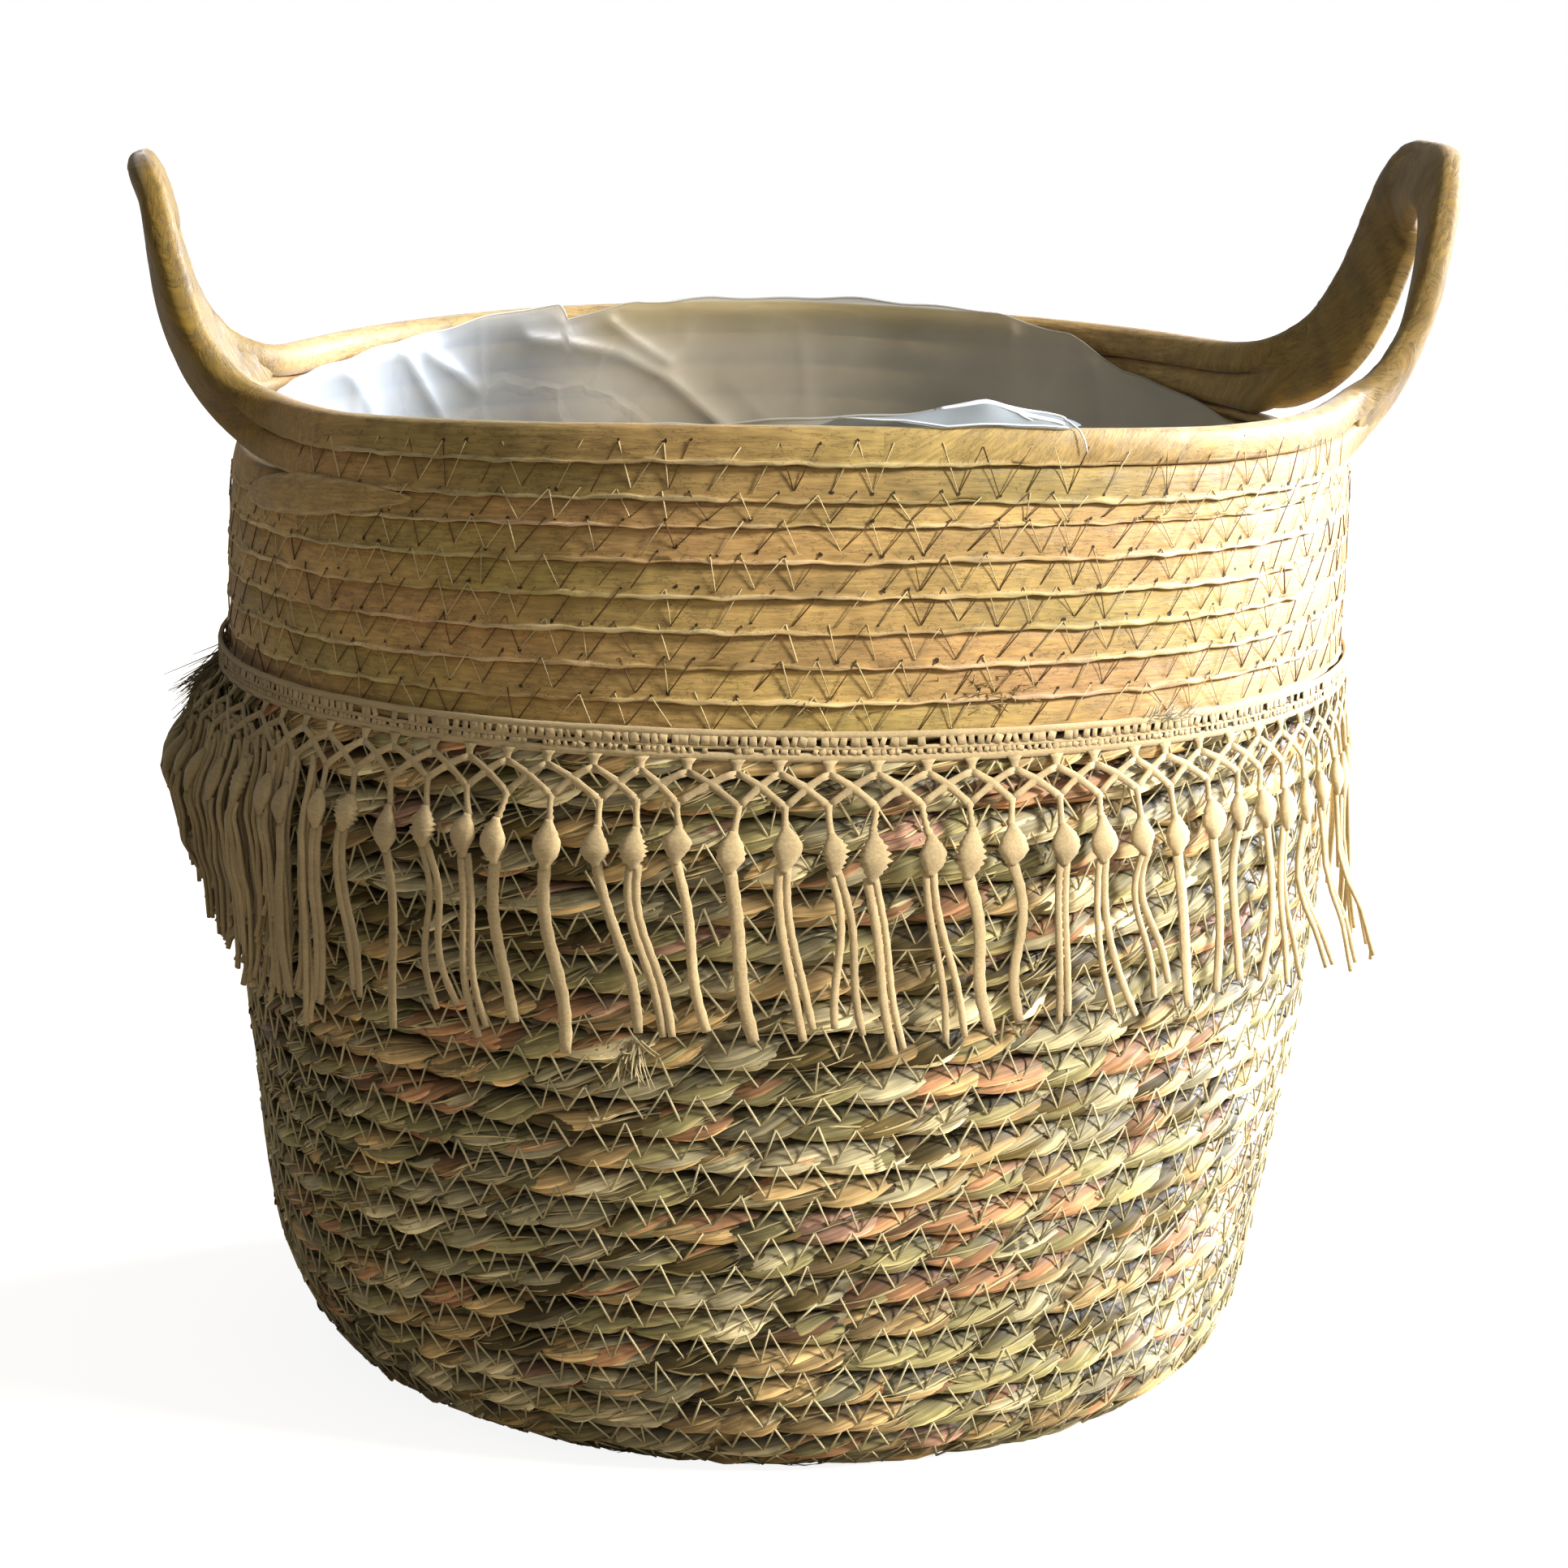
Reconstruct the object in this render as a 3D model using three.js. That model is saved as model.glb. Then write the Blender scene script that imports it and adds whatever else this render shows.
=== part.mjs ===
// Planter basket coiled from rope: a seagrass body, a straw band above it with two raised
// rope handles, a knotted fringe round the joint between them, and a loose film liner.
// Millimetres, +Z up. The origin is the middle of the foot on the floor, the front faces -Y,
// and the handles stand near +X and -X.

import * as THREE from "three";

// Body outline, measured on the outside of the rope
const bodyHeight = 285;
const footRadius = 113;
const heelRadius = 142.5;
const heelHeight = 45;
const bellyRadius = 156.5;
const rimRadius = 156.5;
const heelRoundness = 0.55;

// Ropes, as they lie in the wall: thickness along the wall, depth through it
const seagrassThickness = 9.2;
const seagrassDepth = 9.6;
const strawThickness = 8.4;
const strawDepth = 8.2;
const courseGap = 0.5;
const rimGap = 0.8;
const bandHeight = 78;
const coilStart = 72;
const stepsPerTurn = 20;
const taperEnd = 1.6;

// Base plate of flat coiled rope
const baseThickness = 9;

// Handles, raised out of the two rim courses. The arch and its outward lean are each a smooth bell
// with a half width and a shoulder power, and the strap's face tips and twists by these degrees.
const handleTurn = 8.2;
const handleRise = 60.5;
const handleHalfWidth = 28;
const handleShoulder = 5.4;
const handleLean = 27.4;
const leanHalfWidth = 36;
const leanShoulder = 6;
const handleFaceTip = 23.5;
const handleTwist = 5.7;
const handleSplit = 46;
const splitGap = 0.6;
const handleSteps = 22;
const rimSteps = 9;
const rimCrowding = 1.5;

// Film liner, a loose bag
const linerThickness = 0.5;
const linerGap = 0.6;
const linerDrop = 4;
const linerRows = 12;

// Trim: header tape, open net and tassels
const tapeHeight = 8;
const tapeThickness = 1.2;
const tapeGap = 0.4;
const tapeOverlap = 3;
const tasselCount = 64;
const cordWidth = 2;
const cordThickness = 1.4;
const netStem = 4;
const netRow = 6.5;
const neckLength = 6;
const knotLength = 14;
const knotWidth = 8;
const knotThickness = 4;
const strandLength = 48;
const strandSpread = 5;
const fringeFlare = 10;
const touchGap = 0.3;

// Finishes
const seagrassFinish = { color: 0x8c7f58, roughness: 0.9 };
const strawFinish = { color: 0xd0b37c, roughness: 0.85 };
const cordFinish = { color: 0xe2d3b4, roughness: 0.8 };
const filmFinish = { color: 0xdfe4e6, roughness: 0.25, transparent: true, opacity: 0.45 };

const group = new THREE.Group();
group.name = "planter_basket";

const degrees = THREE.MathUtils.degToRad;

function addPiece(name, geometry, finish) {
  const mesh = new THREE.Mesh(geometry, new THREE.MeshStandardMaterial({ metalness: 0, ...finish }));
  mesh.name = name;
  group.add(mesh);
  return mesh;
}

function meshFrom(points, faces) {
  const geometry = new THREE.BufferGeometry().setFromPoints(points);
  geometry.setIndex(faces.flat());
  geometry.computeVertexNormals();
  return geometry;
}

// Middle line of the rope wall in the plane of radius and height, from the foot to the rim
const wallOutline = (() => {
  const reach = seagrassDepth / 2;
  const foot = new THREE.Vector2(footRadius, reach);
  const heel = new THREE.Vector2(heelRadius - reach, heelHeight);
  const rim = new THREE.Vector2(rimRadius - strawDepth / 2, bodyHeight);
  const middleRadius = bellyRadius - reach;
  const pull = new THREE.Vector2((4 * middleRadius - heel.x - rim.x) / 2, (heel.y + rim.y) / 2);
  const rise = pull.clone().sub(heel).normalize();
  const footPull = new THREE.Vector2(foot.x + heelRoundness * (heel.x - foot.x), foot.y);
  const heelPull = heel.clone().addScaledVector(rise, -heelRoundness * (heel.y - foot.y));
  const path = new THREE.CurvePath();
  path.add(new THREE.CubicBezierCurve(foot, footPull, heelPull, heel));
  path.add(new THREE.QuadraticBezierCurve(heel, pull, rim));
  path.arcLengthDivisions = 400;
  return path;
})();
const outlineLength = wallOutline.getLength();

function outlineAt(length) {
  const u = THREE.MathUtils.clamp(length / outlineLength, 0, 1);
  const point = wallOutline.getPointAt(u);
  const up = wallOutline.getTangentAt(u);
  return { radius: point.x, height: point.y, up };
}

// Where a rising function of a length reaches a value, by halving the interval
function solveLength(longest, value, rising) {
  const halvings = 40;
  let low = 0;
  let high = longest;
  for (let i = 0; i < halvings; i++) {
    const middle = (low + high) / 2;
    if (rising(middle) < value) low = middle;
    else high = middle;
  }
  return low;
}

function lengthAtHeight(height) {
  return solveLength(outlineLength, height, (length) => outlineAt(length).height);
}

function radiusAtHeight(height) {
  return outlineAt(lengthAtHeight(height)).radius;
}

// Rope sections, as [along the wall, through the wall], in shares of half the rope's size
const roundInner = 0.92;
const roundSection = [
  [-0.53, -roundInner],
  [0.53, -roundInner],
  [1, 0.04],
  [0, 1],
  [-1, 0.04],
];
const pressedSection = [
  [-1, -0.9],
  [1, -0.9],
  [1, 0.75],
  [-1, 1],
];
const huskSection = [
  [-1, -0.55],
  [0, -1],
  [1, -0.55],
  [1, 0.55],
  [0, 1],
  [-1, 0.55],
];

// Closed tube with one ring at each station. A station has its centre, its up direction and half sizes,
// and an optional cutting plane that squares off its ring.
function ropeTube(stations, section) {
  const points = [];
  const faces = [];
  const sides = section.length;
  stations.forEach((station, i) => {
    const before = stations[Math.max(i - 1, 0)].centre;
    const after = stations[Math.min(i + 1, stations.length - 1)].centre;
    const along = after.clone().sub(before).normalize();
    const outward = new THREE.Vector3().crossVectors(along, station.up).normalize();
    const up = new THREE.Vector3().crossVectors(outward, along);
    for (const [share, through] of section) {
      const corner = station.centre.clone();
      corner.addScaledVector(up, share * station.halfThickness);
      corner.addScaledVector(outward, through * station.halfDepth);
      if (station.cut) {
        const miss = station.cut.distanceToPoint(corner);
        corner.addScaledVector(along, -miss / station.cut.normal.dot(along));
      }
      points.push(corner);
    }
    if (i === 0) return;
    for (let j = 0; j < sides; j++) {
      const a = (i - 1) * sides + j;
      const b = (i - 1) * sides + ((j + 1) % sides);
      faces.push([a, b, a + sides], [b, b + sides, a + sides]);
    }
  });
  const last = (stations.length - 1) * sides;
  for (let j = 1; j < sides - 1; j++) {
    faces.push([0, j + 1, j], [last, last + j, last + j + 1]);
  }
  return meshFrom(points, faces);
}

// The coil is laid course on course: each step sits on the rope one turn below it
const stepAngle = (2 * Math.PI) / stepsPerTurn;
const rimPitch = strawThickness + rimGap;
const bandBottom = bodyHeight - bandHeight;
const bandTop = lengthAtHeight(bodyHeight - 2 * rimPitch);
const courses = [];

function layCourses() {
  const seagrassPitch = seagrassThickness + courseGap;
  for (let i = 0; ; i++) {
    const angle = degrees(coilStart) + i * stepAngle;
    const below = courses[i - stepsPerTurn];
    let straw = false;
    let halfThickness = seagrassThickness / 2;
    let length = (seagrassPitch * i) / stepsPerTurn;
    let top = length + halfThickness;
    if (below) {
      const seat = below.top + courseGap;
      straw = outlineAt(seat).height > bandBottom - strawThickness / 2;
      const full = straw ? strawThickness : seagrassThickness;
      const room = bandTop - seat;
      if (room < taperEnd) return;
      halfThickness = Math.min(full, room) / 2;
      length = seat + halfThickness;
      // Where the straw rope takes over, the thicker of the two ropes carries the course above
      const joint = straw && !courses[i - 1].straw;
      top = seat + (joint ? Math.max(strawThickness, seagrassThickness) : 2 * halfThickness);
    }
    courses.push({ angle, length, halfThickness, straw, top });
  }
}
layCourses();

function coilStation(course) {
  const { radius, height, up } = outlineAt(course.length);
  const cos = Math.cos(course.angle);
  const sin = Math.sin(course.angle);
  return {
    centre: new THREE.Vector3(radius * cos, radius * sin, height),
    up: new THREE.Vector3(up.x * cos, up.x * sin, up.y),
    halfThickness: course.halfThickness,
    halfDepth: (course.straw ? strawDepth : seagrassDepth) / 2,
  };
}

const firstStraw = courses.findIndex((course) => course.straw);
const strawStations = courses.slice(firstStraw).map(coilStation);
const seagrassEnd = { ...courses[firstStraw], straw: false, halfThickness: seagrassThickness / 2 };
seagrassEnd.length += (seagrassThickness - strawThickness) / 2;
const seagrassStations = [...courses.slice(0, firstStraw), seagrassEnd].map(coilStation);

// The rope starts square at the base plate's step, and both ropes are cut square where the straw rope
// takes over, with a small gap between the cuts
function squareCut(angle, offset, side) {
  const along = new THREE.Vector3(-Math.sin(angle), Math.cos(angle), 0);
  return new THREE.Plane(along, -side * offset);
}
seagrassStations[0].cut = squareCut(courses[0].angle, courseGap, 1);
const jointAngle = courses[firstStraw].angle;
seagrassStations.at(-1).cut = squareCut(jointAngle, touchGap / 2, -1);
strawStations[0].cut = squareCut(jointAngle, touchGap / 2, 1);

addPiece("seagrass_wall_coil", ropeTube(seagrassStations, roundSection), seagrassFinish);
addPiece("straw_band_coil", ropeTube(strawStations, pressedSection), strawFinish);

// Least gap between a coil and itself, measured between the facing edges one turn apart
function leastSelfGap(stations, section) {
  let least = Infinity;
  const widest = section.reduce((a, b) => (Math.abs(b[0]) > Math.abs(a[0]) ? b : a));
  const facing = widest[1];
  const edge = (station, side) => {
    const outward = station.centre.clone().setZ(0).normalize();
    outward.addScaledVector(station.up, -outward.dot(station.up)).normalize();
    return station.centre
      .clone()
      .addScaledVector(station.up, side * station.halfThickness)
      .addScaledVector(outward, facing * station.halfDepth);
  };
  for (let i = stepsPerTurn; i < stations.length; i++) {
    const gap = edge(stations[i], -1).distanceTo(edge(stations[i - stepsPerTurn], 1));
    least = Math.min(least, gap);
  }
  return least;
}

function printCoil(name, stations, section) {
  const turns = (stations.length - 1) / stepsPerTurn;
  const gap = leastSelfGap(stations, section);
  console.log(`${name} coil: ${turns.toFixed(1)} turns, least gap to itself ${gap.toFixed(2)} mm`);
}
printCoil("seagrass", seagrassStations, roundSection);
printCoil("straw", strawStations, pressedSection);

// Base plate: its edge follows the first course of the wall, so it has that course's step
function basePlate() {
  const edge = courses.slice(0, stepsPerTurn + 1).map((course) => {
    const radius = outlineAt(course.length).radius - course.halfThickness - courseGap;
    return new THREE.Vector2(radius * Math.cos(course.angle), radius * Math.sin(course.angle));
  });
  return new THREE.ExtrudeGeometry(new THREE.Shape(edge), {
    depth: baseThickness,
    bevelEnabled: false,
  });
}
addPiece("base_coil_plate", basePlate(), seagrassFinish);

// The two rim courses: round the rim they lie level, and at each handle they rise side by side.
// A place on them is an arc length from the middle of the handle and an offset from their middle line.
const rimMiddle = bodyHeight - rimPitch + rimGap / 2;
const rimCentreRadius = radiusAtHeight(rimMiddle);
const quarterArc = (rimCentreRadius * Math.PI) / 2;

function bell(arc, halfWidth, shoulder) {
  return 1 / (1 + Math.pow(Math.abs(arc) / halfWidth, shoulder));
}

function rimLine(handleAngle, arc) {
  const angle = handleAngle + arc / rimCentreRadius;
  const radius = rimCentreRadius + handleLean * bell(arc, leanHalfWidth, leanShoulder);
  const height = rimMiddle + handleRise * bell(arc, handleHalfWidth, handleShoulder);
  return new THREE.Vector3(radius * Math.cos(angle), radius * Math.sin(angle), height);
}

// Across the strap of two ropes, from the lower to the upper one
function rimUp(handleAngle, arc) {
  const small = 0.01;
  const angle = handleAngle + arc / rimCentreRadius;
  const along = rimLine(handleAngle, arc + small).sub(rimLine(handleAngle, arc - small)).normalize();
  const share = bell(arc, handleHalfWidth, handleShoulder);
  const tip = degrees(handleFaceTip) * bell(arc, leanHalfWidth, leanShoulder);
  const face = new THREE.Vector3(Math.cos(angle), Math.sin(angle), -Math.tan(tip));
  const up = new THREE.Vector3().crossVectors(face, along).normalize();
  return up.applyAxisAngle(along, -degrees(handleTwist) * 4 * share * (1 - share));
}

function rimPoint(handleAngle, arc, offset) {
  return rimLine(handleAngle, arc).addScaledVector(rimUp(handleAngle, arc), offset);
}

function rimStation(handleAngle, arc, offset) {
  return {
    centre: rimPoint(handleAngle, arc, offset),
    up: rimUp(handleAngle, arc),
    halfThickness: strawThickness / 2,
    halfDepth: strawDepth / 2,
  };
}

// The plane across a handle's root, square to its chord, at a distance from the handle's middle
function rootPlane(handleAngle, distance) {
  const chord = new THREE.Vector3(-Math.sin(handleAngle), Math.cos(handleAngle), 0);
  return new THREE.Plane(chord, -distance);
}

function arcAtPlane(handleAngle, distance) {
  const plane = rootPlane(handleAngle, 0);
  return solveLength(quarterArc, distance, (arc) => plane.distanceToPoint(rimLine(handleAngle, arc)));
}

// The middle line of a handle, measured along the arch so that its steps come out even
class HandleArch extends THREE.Curve {
  constructor(handleAngle, end) {
    super();
    this.handleAngle = handleAngle;
    this.end = end;
  }
  arcAt(t) {
    return this.end * (2 * t - 1);
  }
  getPoint(t) {
    return rimLine(this.handleAngle, this.arcAt(t));
  }
}

function handleRope(handleAngle, offset) {
  const half = handleSplit - splitGap / 2;
  const arch = new HandleArch(handleAngle, arcAtPlane(handleAngle, half));
  const stations = [];
  for (let i = 0; i <= handleSteps; i++) {
    const arc = arch.arcAt(arch.getUtoTmapping(i / handleSteps));
    stations.push(rimStation(handleAngle, arc, offset));
  }
  stations[0].cut = rootPlane(handleAngle, -half);
  stations.at(-1).cut = rootPlane(handleAngle, half);
  return ropeTube(stations, huskSection);
}

// A rim rope runs from the far root of one handle to the near root of the next
function rimRope(handleAngle, offset) {
  const half = handleSplit + splitGap / 2;
  const end = arcAtPlane(handleAngle, half);
  const arcs = [];
  for (let i = 0; i <= rimSteps; i++) {
    arcs.push(end + (quarterArc - end) * Math.pow(i / rimSteps, rimCrowding));
  }
  const stations = arcs.slice(0, -1).map((arc) => rimStation(handleAngle, arc, offset));
  for (const arc of arcs.reverse()) {
    stations.push(rimStation(handleAngle + Math.PI, -arc, offset));
  }
  stations[0].cut = rootPlane(handleAngle, half);
  stations.at(-1).cut = rootPlane(handleAngle + Math.PI, -half);
  return ropeTube(stations, huskSection);
}

const rightAngle = degrees(handleTurn);
const leftAngle = rightAngle + Math.PI;
for (const [level, offset] of [["lower", -rimPitch / 2], ["upper", rimPitch / 2]]) {
  addPiece(`rim_rope_back_${level}`, rimRope(rightAngle, offset), strawFinish);
  addPiece(`rim_rope_front_${level}`, rimRope(leftAngle, offset), strawFinish);
  addPiece(`handle_right_rope_${level}`, handleRope(rightAngle, offset), strawFinish);
  addPiece(`handle_left_rope_${level}`, handleRope(leftAngle, offset), strawFinish);
}

// Film liner: a thin bag that follows the inside of the ropes and lifts straight out,
// so it is nowhere wider than the ropes above it
function linerGeometry() {
  const inset = (roundInner * seagrassDepth) / 2 + linerGap;
  const floor = baseThickness + linerGap;
  const top = bodyHeight - linerDrop;
  const outer = [new THREE.Vector2(0, floor)];
  for (let i = 0; i <= linerRows; i++) {
    const wall = outlineAt((outlineLength * i) / linerRows);
    const point = new THREE.Vector2(wall.radius - inset * wall.up.y, wall.height + inset * wall.up.x);
    if (point.y > floor + linerThickness && point.y < top) outer.push(point);
  }
  outer.splice(1, 0, new THREE.Vector2(outer[1].x - (outer[1].y - floor), floor));
  outer.push(new THREE.Vector2(radiusAtHeight(top) - inset, top));
  for (let i = outer.length - 2; i > 0; i--) {
    outer[i].x = Math.min(outer[i].x, outer[i + 1].x);
  }
  const inner = outer.map((point, i) => {
    if (i === 0) return new THREE.Vector2(0, floor + linerThickness);
    if (i === 1) return new THREE.Vector2(point.x, floor + linerThickness);
    if (i === outer.length - 1) return new THREE.Vector2(point.x - linerThickness, top);
    return new THREE.Vector2(point.x - linerThickness, point.y + linerThickness / 2);
  });
  const profile = [...outer, ...inner.reverse()];
  return new THREE.LatheGeometry(profile, stepsPerTurn);
}
const liner = addPiece("liner_bag", linerGeometry(), filmFinish);
liner.rotation.set(Math.PI / 2, degrees(coilStart), 0);

// Trim. The tape lies on the joint between seagrass and straw, clear of the ropes' outer corners.
const tapeTop = bandBottom + tapeOverlap;
const tapeBottom = tapeTop - tapeHeight;
const tapeInner = radiusAtHeight(bandBottom) + seagrassDepth / 2 + tapeGap;

function tapeGeometry() {
  const outer = tapeInner + tapeThickness;
  const profile = [
    new THREE.Vector2(tapeInner, tapeBottom),
    new THREE.Vector2(outer, tapeBottom),
    new THREE.Vector2(outer, tapeTop),
    new THREE.Vector2(tapeInner, tapeTop),
    new THREE.Vector2(tapeInner, tapeBottom),
  ];
  return new THREE.LatheGeometry(profile, tasselCount);
}
const tape = addPiece("trim_tape", tapeGeometry(), cordFinish);
tape.rotation.x = Math.PI / 2;

// The fringe is one flat pattern bent round the basket. Corners are named, cells are lists of corners,
// and each corner has its place: repeats round the basket, drop below the tape and thickness.
function fringeGeometry() {
  const pitch = (2 * Math.PI) / tasselCount;
  const width = pitch * tapeInner;
  const names = new Map();
  const places = [];
  const cells = [];
  const half = cordWidth / 2;
  const corner = (name, repeat, across, drop, thickness = cordThickness) => {
    const key = `${name}_${(repeat + tasselCount) % tasselCount}`;
    if (!names.has(key)) {
      names.set(key, places.length);
      places.push({ angle: (repeat + across / width) * pitch, drop, thickness });
    }
    return names.get(key);
  };
  const upper = touchGap + netStem;
  const cross = upper + netRow;
  const lower = cross + netRow;
  const knot = lower + neckLength + knotLength / 2;
  const knotEnd = knot + knotLength / 2;
  const end = knotEnd + strandLength;
  const slant = (half * Math.hypot(width / 2, netRow)) / (width / 2);
  for (let i = 0; i < tasselCount; i++) {
    const at = (k) => ({
      stemLeft: corner("stemLeft", k, -half, touchGap),
      stemRight: corner("stemRight", k, half, touchGap),
      upperLeft: corner("upperLeft", k, -half, upper - slant / 2),
      upperRight: corner("upperRight", k, half, upper - slant / 2),
      upperFork: corner("upperFork", k, 0, upper + slant),
      lowerFork: corner("lowerFork", k, 0, lower - slant),
      lowerLeft: corner("lowerLeft", k, -half, lower + slant / 2),
      lowerRight: corner("lowerRight", k, half, lower + slant / 2),
    });
    const here = at(i);
    const next = at(i + 1);
    const crossTop = corner("crossTop", i, width / 2, cross - slant);
    const crossLeft = corner("crossLeft", i, width / 2 - slant, cross);
    const crossRight = corner("crossRight", i, width / 2 + slant, cross);
    const crossBottom = corner("crossBottom", i, width / 2, cross + slant);
    cells.push([here.stemLeft, here.stemRight, here.upperRight, here.upperLeft]);
    cells.push([here.upperLeft, here.upperRight, here.upperFork]);
    cells.push([here.upperRight, crossTop, crossLeft, here.upperFork]);
    cells.push([next.upperLeft, next.upperFork, crossRight, crossTop]);
    cells.push([crossTop, crossRight, crossBottom, crossLeft]);
    cells.push([crossLeft, crossBottom, here.lowerRight, here.lowerFork]);
    cells.push([crossRight, next.lowerFork, next.lowerLeft, crossBottom]);
    cells.push([here.lowerFork, here.lowerRight, here.lowerLeft]);
    const knotTopLeft = corner("knotTopLeft", i, -half, knot - knotLength / 2);
    const knotTopRight = corner("knotTopRight", i, half, knot - knotLength / 2);
    const knotLeft = corner("knotLeft", i, -knotWidth / 2, knot, knotThickness);
    const knotRight = corner("knotRight", i, knotWidth / 2, knot, knotThickness);
    const splitLeft = corner("splitLeft", i, -cordWidth, knotEnd);
    const splitMiddle = corner("splitMiddle", i, 0, knotEnd);
    const splitRight = corner("splitRight", i, cordWidth, knotEnd);
    const spread = strandSpread / 2;
    const leftOuter = corner("leftOuter", i, -spread - half, end);
    const leftInner = corner("leftInner", i, -spread + half, end);
    const rightInner = corner("rightInner", i, spread - half, end);
    const rightOuter = corner("rightOuter", i, spread + half, end);
    cells.push([here.lowerLeft, here.lowerRight, knotTopRight, knotTopLeft]);
    cells.push([knotTopLeft, knotTopRight, knotRight, knotLeft]);
    cells.push([knotLeft, knotRight, splitRight, splitMiddle, splitLeft]);
    cells.push([splitLeft, splitMiddle, leftInner, leftOuter]);
    cells.push([splitMiddle, splitRight, rightOuter, rightInner]);
  }
  return plateFromCells(places, cells, end);
}

function plateFromCells(places, cells, fullDrop) {
  const points = [];
  const innerAt = (drop) => tapeInner + (fringeFlare * drop) / fullDrop;
  for (const front of [true, false]) {
    for (const place of places) {
      const { angle, drop, thickness } = place;
      const radius = innerAt(drop) + (front ? thickness : 0);
      points.push(new THREE.Vector3(radius * Math.cos(angle), radius * Math.sin(angle), tapeBottom - drop));
    }
  }
  const faces = [];
  const count = places.length;
  const edges = new Set();
  for (const cell of cells) {
    cell.forEach((a, i) => edges.add(`${a}>${cell[(i + 1) % cell.length]}`));
  }
  for (const cell of cells) {
    for (let i = 1; i < cell.length - 1; i++) {
      faces.push([cell[0], cell[i + 1], cell[i]]);
      faces.push([count + cell[0], count + cell[i], count + cell[i + 1]]);
    }
    cell.forEach((a, i) => {
      const b = cell[(i + 1) % cell.length];
      if (edges.has(`${b}>${a}`)) return;
      faces.push([a, b, count + b], [a, count + b, count + a]);
    });
  }
  return meshFrom(points, faces);
}
addPiece("trim_fringe", fringeGeometry(), cordFinish);

export default group;
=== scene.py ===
import math

import bpy
import numpy as np
from mathutils import Matrix, Vector


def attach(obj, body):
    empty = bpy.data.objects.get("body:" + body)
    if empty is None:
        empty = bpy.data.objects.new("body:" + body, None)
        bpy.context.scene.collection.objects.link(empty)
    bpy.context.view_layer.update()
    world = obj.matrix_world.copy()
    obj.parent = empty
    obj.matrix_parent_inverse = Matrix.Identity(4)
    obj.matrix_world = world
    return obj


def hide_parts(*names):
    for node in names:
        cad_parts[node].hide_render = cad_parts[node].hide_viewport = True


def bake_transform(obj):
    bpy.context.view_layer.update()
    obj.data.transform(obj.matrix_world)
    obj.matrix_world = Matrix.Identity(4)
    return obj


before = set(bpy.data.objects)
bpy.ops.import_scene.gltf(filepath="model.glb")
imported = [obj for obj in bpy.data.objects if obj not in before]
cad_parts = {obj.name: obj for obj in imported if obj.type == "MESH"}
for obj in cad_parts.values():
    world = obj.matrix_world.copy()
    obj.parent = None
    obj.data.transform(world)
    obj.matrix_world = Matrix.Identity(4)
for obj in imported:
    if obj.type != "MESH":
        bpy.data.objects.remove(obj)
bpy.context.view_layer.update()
print("frame loaded:", len(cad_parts), "CAD nodes")

mm = 0.001
fullTurn = 2 * math.pi


# Small tools for objects and shader nodes

def addObject(name, data):
    thing = bpy.data.objects.new(name, data)
    bpy.context.scene.collection.objects.link(thing)
    return thing


def newLook(name):
    look = bpy.data.materials.new(name)
    look.use_nodes = True
    return look, look.node_tree, look.node_tree.nodes["Principled BSDF"]


def setInputs(tree, node, inputs):
    # an input takes a value, another node's output or a whole node, which stands for its first output
    for key, value in inputs.items():
        if isinstance(value, bpy.types.Node):
            value = value.outputs[0]
        if isinstance(value, bpy.types.NodeSocket):
            tree.links.new(value, node.inputs[key])
        else:
            node.inputs[key].default_value = value


def addNode(tree, kind, inputs=(), **settings):
    node = tree.nodes.new("ShaderNode" + kind)
    for key, value in settings.items():
        setattr(node, key, value)
    setInputs(tree, node, dict(inputs))
    return node


def mapRange(tree, value, low, high, start=0.3, end=0.7):
    ends = {"From Min": start, "From Max": end, "To Min": low, "To Max": high}
    return addNode(tree, "MapRange", {"Value": value, **ends})


def multiply(tree, a, b):
    return addNode(tree, "Math", {0: a, 1: b}, operation="MULTIPLY")


# Camera at the photo's place, worked out from the rim, the seams and the outline

photoView = {
    "frameWidth": 1932,                  # pixels
    "focalLength": 5275.65,              # pixels
    "sensor": 36.0,
    "place": (0.0, -1.2074, 0.4216),     # metres
    "pitch": -12.146,                    # degrees
    "yaw": 0.10,
    "roll": 0.7,
}


def setCamera():
    pitch, yaw, roll = (math.radians(photoView[k]) for k in ("pitch", "yaw", "roll"))
    forward = Vector((math.sin(yaw) * math.cos(pitch), math.cos(yaw) * math.cos(pitch), math.sin(pitch)))
    level = Vector((math.cos(yaw), -math.sin(yaw), 0))
    top = level.cross(forward)
    right = level * math.cos(roll) + top * math.sin(roll)
    up = top * math.cos(roll) - level * math.sin(roll)
    data = bpy.data.cameras.new("photo_camera")
    data.sensor_width = photoView["sensor"]
    data.lens = photoView["focalLength"] * photoView["sensor"] / photoView["frameWidth"]
    data.clip_start = 0.05
    data.clip_end = 20
    camera = addObject("photo_camera", data)
    turn = Matrix((right, up, -forward)).transposed().to_4x4()
    camera.matrix_world = Matrix.Translation(photoView["place"]) @ turn
    bpy.context.scene.camera = camera


setCamera()
print("camera set")


# Floor and light

studio = {
    "floorSize": 6.0,
    "floorTone": (0.26, 0.225, 0.175),
    "floorGlow": 0.90,         # lightens the shadow for the camera, and lights nothing
    "skyWay": (1, 0, 0.5),     # the sky grows brighter to the right and upwards
    "skyFrom": -0.55,
    "skyLeft": 0.045,
    "skyRight": 0.72,
    "skyLeftTint": (1.0, 0.85, 0.55),
    "skyTintEnds": (0.1, 0.38),
}
sunLamps = {                   # strength, azimuth from +X and height in degrees, softness in degrees, tint
    "key_light": (5.5, -21, 29, 12, (1.0, 0.97, 0.94)),
    "back_light": (8.8, 29, 15, 12, (0.89, 0.96, 1.14)),
}


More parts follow.
